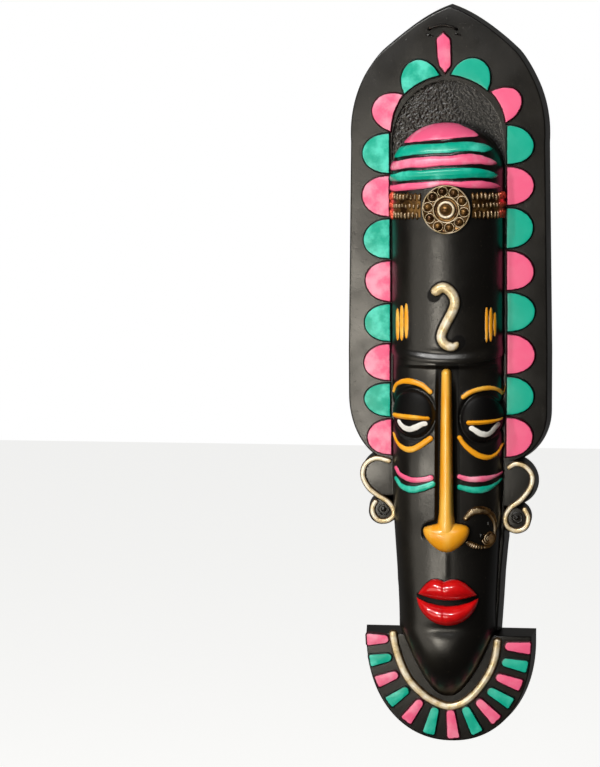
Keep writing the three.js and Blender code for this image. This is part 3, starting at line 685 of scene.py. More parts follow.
print("a stroke of three knots:", spline([(0, 0), (5, 2), (10, 0)], 5).round(1).tolist())

# %% [markdown]
# ## The head as rows of clay
#
# The head is a long rounded box. Each row across it is half a superellipse between an ellipse
# and a box, and the rows change size from the crown to the chin. Rows are close together
# where there is fine work, such as the brow ledge and the eyes, and wide apart on the plain
# forehead, which is how the mesh stays under two hundred thousand triangles.

# %% The head's measures
CAP_TOP_DROP, CAP_END_DROP = 95.5, 138
BROW_DROP, BROW_RISE = 289.6, 5.4
CHIN_START_DROP, CHIN_TIP_DROP = 510, 573.5
HEAD_HALF, FACE_HALF, JAW_HALF = 47, 46.2, 40.4
HEAD_OUT, FACE_OUT, HEAD_BASE_OUT = 54, 49, 16
ROLL = {"out": 1.6, "above": 4, "tall": 5}  # the roll of the brow ledge
CHEEK_END_DROP = 380  # from here the face narrows to the jaw
SECTION_POWER = 2.3
CAP_TILT = 0.05
SKIRT_OUT = PLATE_DEPTH / 2
ROW_SPANS = [  # from, to, spacing
    (95.9, 172, 0.9),
    (172, 236, 3.0),
    (236, 277, 1.2),
    (277, 292.5, 0.6),
    (292.5, 399, 0.72),
    (399, 572.6, 1.5),
]
HEAD_COLUMNS = 171


def head_shape(drop):
    """Half the head's width, and how far its ridge stands out, at each drop."""
    drop = np.asarray(drop, float)
    up = np.clip((CAP_END_DROP - drop) / (CAP_END_DROP - CAP_TOP_DROP), 0, 1)
    dome = np.sqrt(np.maximum(0, 1 - up * up))
    roll = ROLL["out"] * hump(drop, BROW_DROP - ROLL["above"], ROLL["tall"])
    down = ease((drop - CHEEK_END_DROP) / (CHIN_START_DROP - CHEEK_END_DROP))
    chin = np.clip((drop - CHIN_START_DROP) / (CHIN_TIP_DROP - CHIN_START_DROP), 0, 1)
    belly = 1.8 * np.sin(np.pi * np.clip(chin / 0.8, 0, 1))
    fall = (FACE_OUT - PLATE_DEPTH + 6) * chin**3
    stages = [drop < CAP_END_DROP, drop < BROW_DROP, drop < CHIN_START_DROP]
    half = np.select(stages, [
        (HEAD_HALF - 0.5) * dome,
        HEAD_HALF - 0.5 + roll * 0.3,
        mix(FACE_HALF, JAW_HALF, down),
    ], JAW_HALF * (1 - chin) ** 0.6)
    out = np.select(stages, [
        HEAD_BASE_OUT + (HEAD_OUT - HEAD_BASE_OUT) * dome**0.85,
        HEAD_OUT - 0.8 + roll,
        FACE_OUT - 1.5 * np.sin(down * np.pi),
    ], FACE_OUT + belly - fall)
    return half, out


def head_out(x, drop):
    """How far the bare head stands out at a place."""
    half, out = head_shape(drop)
    across = np.clip(np.abs(x) / np.maximum(half, 1e-6), 0, 1)
    bulge = (1 - across**SECTION_POWER) ** (1 / SECTION_POWER)
    return np.maximum(HEAD_BASE_OUT + (out - HEAD_BASE_OUT) * bulge, PLATE_DEPTH)


def rounded(v):
    return np.sign(v) * np.abs(v) ** (2 / SECTION_POWER)


def head_rows():
    spans = [np.arange(start, end, step) for start, end, step in ROW_SPANS]
    return np.concatenate([*spans, [ROW_SPANS[-1][1]]])


def even_turns(count):
    """Angles that divide the head's section into equal lengths, from right to left."""
    turn = np.linspace(0, np.pi, 2000)
    wide, high = HEAD_HALF, HEAD_OUT - HEAD_BASE_OUT
    section = np.stack([wide * rounded(np.cos(turn)), high * rounded(np.sin(turn))], axis=1)
    run = run_along(section)
    return np.interp(np.linspace(0, run[-1], count), run, turn)


rows = head_rows()
print(len(rows), "rows of", HEAD_COLUMNS, "points from the crown to the chin")

# %% [markdown]
# ## Relief on the head
#
# The bare head is pushed out and in along its own slope. Each feature is a small function of
# the place: the cap's bands swell, the eyes are domes with a crease round them, the strokes
# are low ridges, and the trough sinks beside the nose. What is painted and what is raised use
# the same strokes, so colour and relief can't drift apart.

# %% The strokes of the face
BAND_X = [-44, -36, -28, -20, -12, -4, 4, 12, 20, 28, 36, 42]
CAP_BANDS = [  # upper and lower edge at those x, right end, paint; near its right end a band fades out, partly as painted shade
    ([80, 80, 80, 80, 80, 80, 94.4, 98.2, 102.2, 108.2, 116, 120],
     [110.7, 110.7, 110.1, 109.5, 109.1, 109.0, 108.6, 107.9, 108.0, 108.4, 108.6, 108.6], 30.5,
     "pink"),
    ([113.3, 113.1, 112.0, 111.8, 111.9, 111.9, 111.5, 111.4, 111.8, 113.6, 115.7, 116.7],
     [122.5, 121.1, 120.1, 119.8, 119.4, 119.5, 119.4, 119.0, 119.1, 120.3, 121.3, 121.7], 38.5,
     "teal"),
    ([125.0, 124.0, 122.6, 122.2, 121.8, 122.0, 122.1, 121.3, 121.2, 123.0, 126.4, 128.2],
     [132.2, 130.8, 130.0, 130.6, 130.1, 129.5, 129.8, 129.6, 129.4, 130.0, 131.4, 132.5], 43.0,
     "pink"),
    ([135.4, 133.1, 132.4, 132.9, 132.3, 132.1, 131.9, 132.1, 132.5, 133.6, 136.3, 138.7],
     [140.9, 140.8, 140.1, 140.0, 140.2, 140.3, 140.4, 140.3, 140.3, 140.8, 141.8, 142.2], 44.5,
     "teal"),
    ([144.1, 142.8, 142.4, 142.2, 141.7, 141.8, 142.4, 143.2, 142.9, 143.2, 145.1, 147.0],
     [148.9, 148.6, 148.0, 147.6, 146.6, 145.2, 145.7, 147.6, 148.7, 149.3, 150.0, 150.8], 46.0,
     "pink"),
]
EYES = [  # centre x and drop, half width and half height of the globe
    (-27.6, 331.0, 17.6, 19.6),
    (29.3, 334.2, 17.4, 19.6),
]
FACE_STROKES = [  # knots, half widths at the start, middle and end, rise, paint
    ([(-44.3, 314.8), (-42.6, 309.6), (-38.6, 306.2), (-33.0, 304.6), (-26.7, 305.2),
      (-19.9, 307.4), (-13.2, 312.4)], (0.9, 2.3, 1.9), 1.3, "ochre"),
    ([(13.8, 316.2), (18.5, 313.1), (24.5, 310.8), (31.8, 309.6), (37.7, 310.0), (42.4, 312.4),
      (45.0, 315.6)], (1.9, 1.9, 1.2), 1.3, "ochre"),
    ([(-40.8, 333.4), (-35.0, 333.3), (-25.8, 333.4), (-14.6, 333.8)], (2.1, 2.2, 1.5), 1.6,
     "ochre"),
    ([(17.6, 336.9), (24.8, 336.9), (34.5, 336.4), (42.2, 335.2)], (1.9, 1.8, 0.9), 1.6, "ochre"),
    ([(-44.0, 349.2), (-41.9, 354.4), (-37.0, 359.0), (-31.0, 360.6), (-24.5, 358.4),
      (-13.2, 350.4)], (0.9, 2.3, 2.2), 1.3, "ochre"),
    ([(10.7, 349.4), (14.0, 354.3), (20.0, 360.2), (27.5, 364.9), (34.9, 366.2), (40.9, 363.6),
      (45.2, 357.4)], (1.8, 2.2, 0.9), 1.3, "ochre"),
    ([(-41.8, 377.2), (-38.1, 381.9), (-28.3, 385.0), (-18.8, 384.4), (-12.8, 382.8)],
     (1.6, 2.1, 2.2), 1.1, "pink"),
    ([(10.6, 381.3), (18.4, 383.5), (30.7, 383.4), (39.8, 382.1), (44.4, 380.6)],
     (1.9, 2.4, 1.1), 1.1, "pink"),
    ([(-41.8, 386.0), (-37.2, 391.0), (-28.4, 393.2), (-18.8, 391.0), (-11.4, 387.9)],
     (1.7, 2.7, 2.4), 1.1, "teal"),
    ([(10.8, 389.9), (21.5, 392.3), (32.3, 391.8), (39.8, 388.9), (44.0, 386.0)],
     (2.1, 2.6, 1.1), 1.1, "teal"),
    ([(-37.6, 338.3), (-35.9, 340.8), (-32.6, 342.9), (-28.4, 343.2), (-23.6, 341.2),
      (-19.6, 338.9), (-17.0, 338.3)], (1.9, 2.5, 1.9), 0.35, "white"),
    ([(20.0, 341.5), (23.6, 344.1), (27.4, 346.3), (31.9, 346.8), (35.4, 344.8), (38.2, 341.4),
      (40.0, 339.6)], (2.0, 2.3, 2.0), 0.35, "white"),
]
IRISES = [(-29.4, 337.6, 3.6), (31.2, 341.4, 3.6)]
MOAT = [(-18.4, 431.0), (-18.0, 426.0), (-15.4, 422.6), (-11.6, 420.9), (-8.0, 420.0)]
MOUTH = {"x": 0.8, "half": 24.6, "level": 480.2, "sink": 5.0, "black": 1.9}
STREAKS = [  # x, top, end, half width
    (-40.3, 246.2, 271.4, 1.5), (-36.6, 243.4, 271.0, 1.7), (-32.6, 241.5, 269.0, 1.7),
    (32.5, 244.1, 271.6, 1.3), (35.8, 244.3, 271.0, 1.5), (39.0, 248.6, 267.3, 1.2),
]
HOOK = [
    (-10.0, 234.0), (-7.6, 230.0), (-2.6, 227.2), (2.6, 229.6), (6.2, 234.6), (7.2, 240.2),
    (5.0, 246.8), (1.6, 253.4), (-1.8, 260.2), (-3.9, 266.6), (-2.4, 271.4), (1.6, 274.4),
    (6.3, 274.6), (10.2, 271.2),
]
print(len(FACE_STROKES), "strokes,", len(STREAKS), "streaks and two eyes")

# %% How far the clay is raised, and where it is painted
STROKE_POINTS = 22
HOOK_RADIUS = 4.6
TROUGH = {"half": 9.6, "narrow": 8.8, "top": 291.5, "end": 420, "deep": 3.6}
TROUGH_WALLS = (2.2, 4.6)  # the widths of its left and its right slope
GROOVE = {"level": 281.0, "half": 3.6, "deep": 0.9, "reach": 46}  # over the brow ledge
UNDER_LEDGE = {"top": 290.5, "end": 318, "deep": 1.5}
CAP_LEVEL = 150  # the cap's bands end above it
BAND_RISE, BAND_ROUND = 1.5, 2.4
STREAK_RISE = 0.8
GLOBE_RISE, GLOBE_FOOT = 4.8, 0.9  # the eye, and how far it falls under its white
LID_CREASE = {"deep": 1.7, "at": 1.04, "wide": 0.08}  # at and wide in radii of the globe
SWELLS = {  # rise, then middle and width across, then from, to and both fades down the face
    "forehead": (0.7, (0, 14), (175, 284, 12, 10)),
    "cheeks": (1.4, (28, 10), (350, 434, 25, 25)),
    "under the nose": (0.45, (-0.6, 2.9), (441, 470, 8, 9)),
}
CHIN_DENT = {"deep": 1.3, "half": 17, "drop": 508, "tall": 5}
MOAT_HALF, MOAT_DEEP = 2.7, 1.6  # the groove over the left nostril, painted black as a painted shadow


def stroke_of(knots, widths):
    return spline(knots, STROKE_POINTS), swelling(STROKE_POINTS, *widths)


def streak_of(x, top, end, half):
    """An upright dab of the brush, thin where it starts and ends."""
    line = np.column_stack([np.full(STROKE_POINTS, float(x)), np.linspace(top, end, STROKE_POINTS)])
    t = np.linspace(0, 1, STROKE_POINTS)
    return line, half * (0.35 + 0.65 * np.sin(np.pi * t) ** 0.4)


def ridge_profile(inside, half_width):
    """A low rounded ridge: 1 on its back, 0 at its foot."""
    return np.sqrt(np.clip(1 - (1 - np.clip(inside / half_width, 0, 1)) ** 2, 0, 1))


def cap_band(level, x):
    """For each painted cap band: how far inside it a place lies, and its paint."""
    for top, end, shaded_right_end, paint in CAP_BANDS:
        inside = np.minimum(level - np.interp(x, BAND_X, top), np.interp(x, BAND_X, end) - level)
        # near its right end a band narrows and its paint stops, partly where it ends and partly as
        # painted shade away from the light
        yield inside - 4.2 * np.clip((x - shaded_right_end + 9) / 9, 0, 3) ** 2, paint


def trough_half(drop):
    """Half the width of the sunken way beside the nose."""
    return mix(TROUGH["narrow"], TROUGH["half"], ease((drop - TROUGH["top"]) / 60))


def in_moat(x, drop):
    return inside_stroke(x, drop, spline(MOAT, 30), MOAT_HALF)


def head_relief(x, drop, level):
    """Millimetres the clay is raised, or sunk where it is negative, at every point."""
    relief = np.zeros(x.shape)
    for inside, _ in cap_band(level, x):
        relief += np.where(level < CAP_LEVEL, BAND_RISE * ridge_profile(inside, BAND_ROUND), 0)
    to_side = GROOVE["reach"] - np.abs(x)
    relief -= GROOVE["deep"] * hump(level, GROOVE["level"], GROOVE["half"]) * ease(to_side / 20)
    for cx, cd, wide, tall in EYES:
        r = np.hypot((x - cx) / wide, (drop - cd) / tall)
        lower = GLOBE_FOOT * ease((drop - cd - 2.5) / 1.5) * ease((1.0 - r) / 0.3)
        relief += GLOBE_RISE * np.clip(1 - r * r, 0, 1) ** 0.7 - lower
        relief -= LID_CREASE["deep"] * hump(r, LID_CREASE["at"], LID_CREASE["wide"])
    for knots, widths, rise, _ in FACE_STROKES:
        line, halves = stroke_of(knots, widths)
        relief += rise * ridge_profile(inside_stroke(x, drop, line, halves), max(widths))
    for streak in STREAKS:
        inside = inside_stroke(x, drop, *streak_of(*streak))
        relief += STREAK_RISE * ridge_profile(inside, streak[-1])
    half = trough_half(drop)
    side = ease((half + x) / TROUGH_WALLS[0]) * ease((half - x) / TROUGH_WALLS[1])
    relief -= TROUGH["deep"] * side * stretch(drop, TROUGH["top"], TROUGH["end"], 32, 4)
    shade = stretch(drop, UNDER_LEDGE["top"], UNDER_LEDGE["end"], 4, 24)
    relief -= UNDER_LEDGE["deep"] * shade * ease(to_side / 12)
    for name, (rise, across, down) in SWELLS.items():
        place = np.abs(x) if name == "cheeks" else x
        relief += rise * hump(place, *across) * stretch(drop, *down)
    dent = hump(x, 0, CHIN_DENT["half"]) * hump(drop, CHIN_DENT["drop"], CHIN_DENT["tall"])
    return relief - CHIN_DENT["deep"] * dent - MOAT_DEEP * ease(in_moat(x, drop) / 2)


def head_paint(x, drop, level, out):
    """Millimetres inside each colour, for every point of the head."""
    paint = {name: np.full(x.shape, OUTSIDE) for name in HEAD_PAINTS}

    def lay(name, inside):
        paint[name] = np.maximum(paint[name], inside)

    above_board = out - PLATE_DEPTH - 0.8
    for inside, name in cap_band(level, x):
        lay(name, np.where(level < CAP_LEVEL, np.minimum(inside, above_board), OUTSIDE))
    for knots, widths, _, name in FACE_STROKES:
        lay(name, inside_stroke(x, drop, *stroke_of(knots, widths)))
    for streak in STREAKS:
        lay("ochre", inside_stroke(x, drop, *streak_of(*streak)))
    # a black rim 1.2 mm wide is painted round the hook's foot, partly its outline and partly
    # painted shade
    hook = inside_stroke(x, drop, spline(HOOK, 60), HOOK_RADIUS + 1.2)
    # the trough is painted black; on the right it reaches 1.6 mm past it against 0.4 on the left, a
    # painted shade where the nose keeps the light off
    half = trough_half(drop) + np.where(x > 0, 1.6, 0.4)
    trough = np.minimum(half - np.abs(x), np.minimum(drop - TROUGH["top"] + 3, 428 - drop))
    u = (x - MOUTH["x"]) / MOUTH["half"]
    parting = MOUTH["level"] + MOUTH["sink"] * (1 - u * u)
    open_by = MOUTH["black"] * (2 - u * u)
    mouth = np.minimum(open_by - np.abs(drop - parting), 25 * (1.05 - np.abs(u)))
    globes = [6 * (1 - np.hypot((x - cx) / wide, (drop - cd) / tall))
              for cx, cd, wide, tall in EYES]
    # the black in the groove over the left nostril is a painted shadow
    for inside in (hook, trough, in_moat(x, drop), mouth, *globes):
        lay("black", inside)
    for cx, cd, radius in IRISES:
        paint["white"] = np.minimum(paint["white"], np.hypot(x - cx, drop - cd) - radius)
    return paint


def make_head():
    """The head as a closed solid, pushed out by its relief and carrying its paint."""
    turns = even_turns(HEAD_COLUMNS)
    level, turn = np.meshgrid(rows, turns, indexing="ij")
    half, out = head_shape(level)
    c, s = np.cos(turn), np.sin(turn)
    tilt = CAP_TILT * stretch(level, CAP_TOP_DROP, 190, 12, 40)
    rise = BROW_RISE * stretch(level, 230, 360, 45, 60)
    wide, high = np.maximum(half, 0.3), np.maximum(out - HEAD_BASE_OUT, 0.3)
    x = wide * rounded(c)
    up = high * rounded(s)
    drop = level - tilt * x - rise * c * c
    slope_x = np.abs(x / wide) ** (SECTION_POWER - 1) / wide * np.sign(x)
    slope_out = np.abs(up / high) ** (SECTION_POWER - 1) / high
    length = np.maximum(np.hypot(slope_x, slope_out), 1e-9)
    relief = head_relief(x, drop, level)
    paint = head_paint(x, drop, level, HEAD_BASE_OUT + up)
    x = x + relief * slope_x / length
    out = HEAD_BASE_OUT + up + relief * slope_out / length
    front = at(x, out, drop)
    left = at(x[:, -1], SKIRT_OUT, drop[:, -1])
    right = at(x[:, 0], SKIRT_OUT, drop[:, 0])
    rings = np.concatenate([front, left[:, None], right[:, None]], axis=1)
    points, faces = loft(list(rings))
    values = {}
    for name, field in paint.items():
        padded = np.full((len(rows), HEAD_COLUMNS + 2), OUTSIDE)
        padded[:, :HEAD_COLUMNS] = field
        values[name] = np.concatenate([padded.ravel(), [OUTSIDE, OUTSIDE]])
    return points, faces, values


head_points, head_faces, head_values = make_head()
print("the head has", len(head_points), "points")

# %% [markdown]
# ## Flat plates with worn edges
#
# The board, the ears and the collar are 22 mm plates whose walls lean in a little, as they
# must to leave a mould, and whose front edge is worn round. One function makes such a plate
# from its outline by moving the outline inwards along its mitres at each level. The same
# function makes pads and bars, with a crown on top.


# %% Outlines, insets and plates
WALL_DRAFT, EDGE_ROUND = 2.4, 1.4
ARCH_HALF, ARCH_DROP, FULL_DROP = 81.6, 112, 282
ARCH_BULGE, TIP_PINCH, TIP_LEAN = 2.2, 2.6, 1.6
CORNER = {"wide": 40, "left": 318, "right": 332, "end": 376}
SHARPEST_MITRE = 0.35
PLATE_LEVELS = [(0, 0), (PLATE_DEPTH - EDGE_ROUND, WALL_DRAFT)] + [
    (
        PLATE_DEPTH - EDGE_ROUND * (1 - math.sin(turn)),
        WALL_DRAFT + EDGE_ROUND * (1 - math.cos(turn)),
    )
    for turn in np.radians([18, 36, 54, 72, 90])
]


def arc(x, drop, wide, tall, start, end, count, power=2.0):
    """An elliptical or squarer arc between two angles in degrees, anticlockwise from +x."""
    turn = np.radians(np.linspace(start, end, count + 1))
    bend = lambda v: np.sign(v) * np.abs(v) ** (2 / power)
    return np.stack([x + wide * bend(np.cos(turn)), drop - tall * bend(np.sin(turn))], axis=1)


def inset(outline, amount):
    """The outline moved inwards along its mitres, which are kept short at sharp corners."""
    after = np.roll(outline, -1, axis=0) - outline
    after = after / np.linalg.norm(after, axis=1)[:, None]
    before = np.roll(after, 1, axis=0)
    nxt = np.roll(outline, -1, axis=0)
    side = np.sign(np.sum(outline[:, 0] * nxt[:, 1] - outline[:, 1] * nxt[:, 0]))
    m, k = (np.stack([-t[:, 1], t[:, 0]], axis=1) * side for t in (before, after))
    mitre = (m + k) / np.maximum(SHARPEST_MITRE, 1 + np.sum(m * k, axis=1))[:, None]
    return outline + mitre * amount


def plate_mesh(outline, levels):
    """A plate through levels, each how far out it lies and how far it is moved inwards."""
    rings = []
    for out, amount in levels:
        ring = inset(outline, amount)
        rings.append(at(ring[:, 0], out, ring[:, 1]))
    n = len(outline)
    faces = grid_faces(len(rings), n, ring=True)
    faces.append(tuple(range(n))[::-1])
    faces.append(tuple(range((len(rings) - 1) * n, len(rings) * n)))
    return np.concatenate(rings), faces


def pointed_arch(half, drop, height, count):
    """The right side of the board's top, from where it starts to curve to the tip."""
    radius = (half * half + height * height) / (2 * half)
    turn = np.linspace(0, math.asin(height / radius), count + 1)
    up = np.sin(turn) * radius
    pinch = TIP_PINCH * np.sin(np.pi * np.clip((up / height - 0.66) / 0.34, 0, 1))
    fuller = ARCH_BULGE * np.sin(np.pi * up / height) - pinch
    return np.stack([half - radius + radius * np.cos(turn) + fuller, drop - up], axis=1)


def mirrored(line):
    return line * [-1, 1]


def board_outline():
    half = BOARD_WIDTH / 2
    arch = pointed_arch(ARCH_HALF, ARCH_DROP, ARCH_DROP, 44)[:-1]

    def flank(start):
        end, wide = CORNER["end"], CORNER["wide"]
        corner = arc(half - wide, start, wide, end - start, -90, 0, 24)
        return np.vstack([corner, [(half, FULL_DROP)], arch])

    tip = np.array([[0.0, 0.0]])
    line = np.vstack([flank(CORNER["right"]), tip, mirrored(flank(CORNER["left"]))[::-1]])
    line[:, 0] += TIP_LEAN * ease((60 - line[:, 1]) / 40)
    return line


EAR = {"x": 50, "drop": 385, "wide": 23.8, "tall": {-1: 20, 1: 22}}
LOBE = {"x": 54.8, "drop": 415.2, "radius": 13.3}


def ear_outlines():
    for side in (-1, 1):
        sag = RIGHT_EAR_SAG if side > 0 else 0
        yield arc(side * EAR["x"], EAR["drop"] + sag, EAR["wide"], EAR["tall"][side], 0, 355, 71)
        radius = LOBE["radius"]
        yield arc(side * LOBE["x"], LOBE["drop"] + sag, radius, radius, 0, 354, 59)


JAW = [
    (43.4, 516), (45.2, 490), (46.6, 466), (48.6, 444), (49.4, 438), (49.4, 370),
    (-46.2, 370), (-45.2, 440), (-44.0, 472), (-41.4, 502), (-40.4, 516),
]


COLLAR = {"x": 0.7, "half": 71.2, "top": 515.4, "centre": 522, "power": 2.15, "skew": 0.02}


def collar_outline():
    x, half, centre = COLLAR["x"], COLLAR["half"], COLLAR["centre"]
    rim = arc(x, centre, half, HEIGHT - centre, -180, 0, 84, COLLAR["power"])
    rim[:, 0] += COLLAR["skew"] * (rim[:, 1] - centre)
    return np.vstack([rim, [(x + half, COLLAR["top"]), (x - half, COLLAR["top"])]])


outlines = [board_outline(), *ear_outlines(), np.array(JAW, float), collar_outline()]
print(len(outlines), "plates with", sum(len(o) for o in outlines), "outline points")

# %% [markdown]
# ## One body of clay
#
# The real mask is pressed in one piece and is hollow behind the head. So the plates and the
# head are joined into one closed body, and the hollow, the recess behind the cap, the pocket
# for the wire and its two holes are cut from it, with Blender's Boolean modifier. The Boolean
# makes new points along its cuts, so afterwards every point takes its paint from the nearest
# point of the head that was made above.

# %% Cutters
NICHE = {"half": 46.6, "spring": 115, "tall": 53.8, "end": 150, "floor": 17.6}
SHELL, FACE_EXTRA = 9.5, 1.5  # the clay's thickness, and how much more it is below the cap
HOLLOW_DROPS = [110, 117, 128, 145, 276, 296, 400, 498, 518, 533, 545]
HANG = {"x": -4, "drop": 21, "half": 11.1, "radius": 1.5, "slant": 1.6, "pocket": 9}
POCKET = {"top": 14, "end": 46, "half": 16, "corner": 5}


def niche_rim():
    rim = arc(0, NICHE["spring"], NICHE["half"], NICHE["tall"], 0, 180, 60)
    return np.vstack([rim, [(-NICHE["half"], NICHE["end"]), (NICHE["half"], NICHE["end"])]])


def hollow_mesh():
    """The room behind the head: its own section made smaller by the clay's thickness."""
    rings = []
    for drop in HOLLOW_DROPS:
        half, out = head_shape(drop)
        shrink = SHELL + (0 if drop < 130 else FACE_EXTRA)
        turn = np.linspace(0, np.pi, 25)
        wide, high = max(half - shrink, 0.3), max(out - HEAD_BASE_OUT - shrink, 0.3)
        front = at(wide * rounded(np.cos(turn)),
                   HEAD_BASE_OUT + high * rounded(np.sin(turn)), drop)
        back = [front[-1] * [1, 0, 1] + [0, MM, 0], front[0] * [1, 0, 1] + [0, MM, 0]]
        rings.append(np.vstack([front, back]))
    return loft(rings)


def pocket_outline():
    half, corner = POCKET["half"], POCKET["corner"]
    right = np.array([(half - corner, POCKET["end"]), (half, POCKET["end"] - corner),
                      (half, POCKET["top"] + corner), (half - corner, POCKET["top"])])
    return np.vstack([right, mirrored(right)[::-1]]) + [HANG["x"], 0]


def hole_mesh(side):
    """A hole for the wire, drilled a little aslant."""
    radius = HANG["radius"]
    hole = arc(HANG["x"] + side * HANG["half"], HANG["drop"], radius, radius, 0, 345, 23)
    slant = HANG["slant"] / (PLATE_DEPTH - HANG["pocket"])
    return loft([at(hole[:, 0] + slant * (PLATE_DEPTH - out), out, hole[:, 1])
                 for out in (HANG["pocket"] - 4, PLATE_DEPTH + 1)])


def cutters():
    yield plate_mesh(niche_rim(), [(NICHE["floor"], 0.6), (PLATE_DEPTH + 30, -0.4)])
    yield hollow_mesh()
    yield hole_mesh(-1)
    yield hole_mesh(1)
    yield plate_mesh(pocket_outline(), [(-1, 0), (HANG["pocket"], 1)])


# %% Join, cut and paint
def boolean(target, other, operation):
    """Joins or cuts with Blender's modifier, and keeps the result as a plain mesh."""
    modifier = target.modifiers.new("join", "BOOLEAN")
    modifier.operation = operation
    modifier.solver = "MANIFOLD"
    modifier.object = other
    depsgraph = bpy.context.evaluated_depsgraph_get()
    result = bpy.data.meshes.new_from_object(target.evaluated_get(depsgraph))
    target.modifiers.clear()
    target.data = result
    bpy.data.objects.remove(other)


def make_body():
    plates = [new_mesh("plate", *plate_mesh(outline, PLATE_LEVELS)) for outline in outlines]
    body = plates[0]
    for plate in plates[1:]:
        boolean(body, plate, "UNION")
    cuts = [new_mesh("cutter", *mesh) for mesh in cutters()]
    boolean(body, cuts.pop(0), "DIFFERENCE")
    boolean(body, new_mesh("head", head_points, head_faces), "UNION")
    for cut in cuts:
        boolean(body, cut, "DIFFERENCE")
    body.name = body.data.name = "clay_body"
    return body


def carry_paint(body):
    """Gives every point of the body the paint of the head's point that it lies on."""
    tree = KDTree(len(head_points))
    for i, point in enumerate(head_points):
        tree.insert(point, i)
    tree.balance()
    found = [tree.find(v.co) for v in body.data.vertices]
    index = np.array([i for _, i, _ in found])
    away = np.array([gap for _, _, gap in found]) > 0.8 * MM
    for name, numbers in head_values.items():
        set_values(body.data, name, np.where(away, OUTSIDE, numbers[index]))


clay_body = make_body()
carry_paint(clay_body)
smooth(clay_body.data, 50)
hand_over(clay_body, painted_clay)

# %% [markdown]
# ## The rough recess
#
# Behind the cap the maker stippled the clay while it was soft. The floor of the recess is its
# own thin slab, a grid that fits under the arch. A small Geometry Nodes tree pushes its front
# out and in by a noise, with the depth, the grain and the seed as named inputs.

# %% A node tree that stipples a surface
STIPPLE_GRID = (164, 140)
SLAB_FRONT, SLAB_BACK = 18.6, 16.4
STIPPLE = {"Depth": 1.1 * MM, "Grain": 620.0, "Seed": 7.0}


def node_tree(name, sockets):
    """An empty Geometry Nodes group with these named inputs, and its two end nodes."""
    group = bpy.data.node_groups.new(name, "GeometryNodeTree")
    group.interface.new_socket("Geometry", in_out="INPUT", socket_type="NodeSocketGeometry")
    for key, kind in sockets.items():
        group.interface.new_socket(key, in_out="INPUT", socket_type=kind)
    group.interface.new_socket("Geometry", in_out="OUTPUT", socket_type="NodeSocketGeometry")
    return group, group.nodes.new("NodeGroupInput"), group.nodes.new("NodeGroupOutput")


def tree_attribute(group, name, kind="FLOAT"):
    return add_node(group, "GeometryNodeInputNamedAttribute", [("Name", name)],
                    data_type=kind).outputs[0]


def finish_tree(group, start, end, last):
    """The last two nodes of every tree: real copies instead of instances, and the material."""
    real = add_node(group, "GeometryNodeRealizeInstances", [("Geometry", last.outputs[0])])
    done = add_node(group, "GeometryNodeSetMaterial", [
        ("Geometry", real.outputs[0]), ("Material", start.outputs["Finish"])])
    group.links.new(done.outputs[0], end.inputs[0])
    return group


def run_tree(piece, group, inputs):
    """Runs a tree on an object and leaves a plain mesh in its place."""
    modifier = piece.modifiers.new(group.name, "NODES")
    modifier.node_group = group
    for item in group.interface.items_tree:
        if item.item_type == "SOCKET" and item.in_out == "INPUT" and item.name in inputs:
            modifier[item.identifier] = inputs[item.name]
    depsgraph = bpy.context.evaluated_depsgraph_get()
    result = bpy.data.meshes.new_from_object(piece.evaluated_get(depsgraph))
    piece.modifiers.remove(modifier)
    piece.data = result
    return piece


def stipple_tree():
    group, start, end = node_tree("stipple", {
        "Depth": "NodeSocketFloat", "Grain": "NodeSocketFloat", "Seed": "NodeSocketFloat",
        "Finish": "NodeSocketMaterial",
    })

    def times(a, b):
        return add_node(group, "ShaderNodeMath", [(0, a), (1, b)],
                        operation="MULTIPLY").outputs[0]

    noise = add_node(group, "ShaderNodeTexNoise", [
        ("W", start.outputs["Seed"]), ("Scale", start.outputs["Grain"]), ("Detail", 2.5),
    ], noise_dimensions="4D")
    height = add_node(group, "ShaderNodeMapRange", [
        (0, noise.outputs[0]), (1, 0.3), (2, 0.7), (3, 0.0), (4, 1.0)])
    free = times(height.outputs[0], tree_attribute(group, "loose"))
    out = times(times(free, start.outputs["Depth"]), -1.0)
    shift = add_node(group, "ShaderNodeCombineXYZ", [("Y", out)])
    moved = add_node(group, "GeometryNodeSetPosition", [
        ("Geometry", start.outputs[0]), ("Offset", shift.outputs[0])])
    # the stipple's height is kept so that its pits can be painted darker, a painted shade
    kept = add_node(group, "GeometryNodeStoreNamedAttribute", [
        ("Geometry", moved.outputs[0]), ("Name", "painted_light"), ("Value", free),
    ], data_type="FLOAT", domain="POINT")
    return finish_tree(group, start, end, kept)


def niche_slab():
    """A slab under the arch. Its front is a grid, and loose is 1 where the stipple may move it."""
    across, down = STIPPLE_GRID
    spring, tall, wide = NICHE["spring"], NICHE["tall"] + 0.3, NICHE["half"] + 0.3
    top = spring - tall + 0.6
    s = np.linspace(-1, 1, across)
    drops = top + (NICHE["end"] - 1 - top) * np.linspace(0, 1, down) ** 1.15
    up = np.clip((spring - drops) / tall, 0, 1)
    half = wide * np.sqrt(np.clip(1 - up**2, 0.004, 1))
    x = half[:, None] * s[None, :]
    drop = np.broadcast_to(drops[:, None], x.shape)
    edge = np.minimum(half[:, None] - np.abs(x), (drop - top) + 0.3)
    floor = SLAB_FRONT + 0.5 * ease((2 - edge) / 2)
    front = at(x, floor, drop).reshape(-1, 3)
    back = at(x, SLAB_BACK, drop).reshape(-1, 3)
    rougher = ease((20 - x + 0.35 * (drop - 90)) / 26)
    loose = ease(edge / 1.4) * (0.25 + 0.75 * rougher)
    values = {"loose": loose, "rim": edge}
    values = {key: np.concatenate([v.ravel(), np.zeros(v.size)]) for key, v in values.items()}
    return np.vstack([front, back]), slab_faces(down, across), values


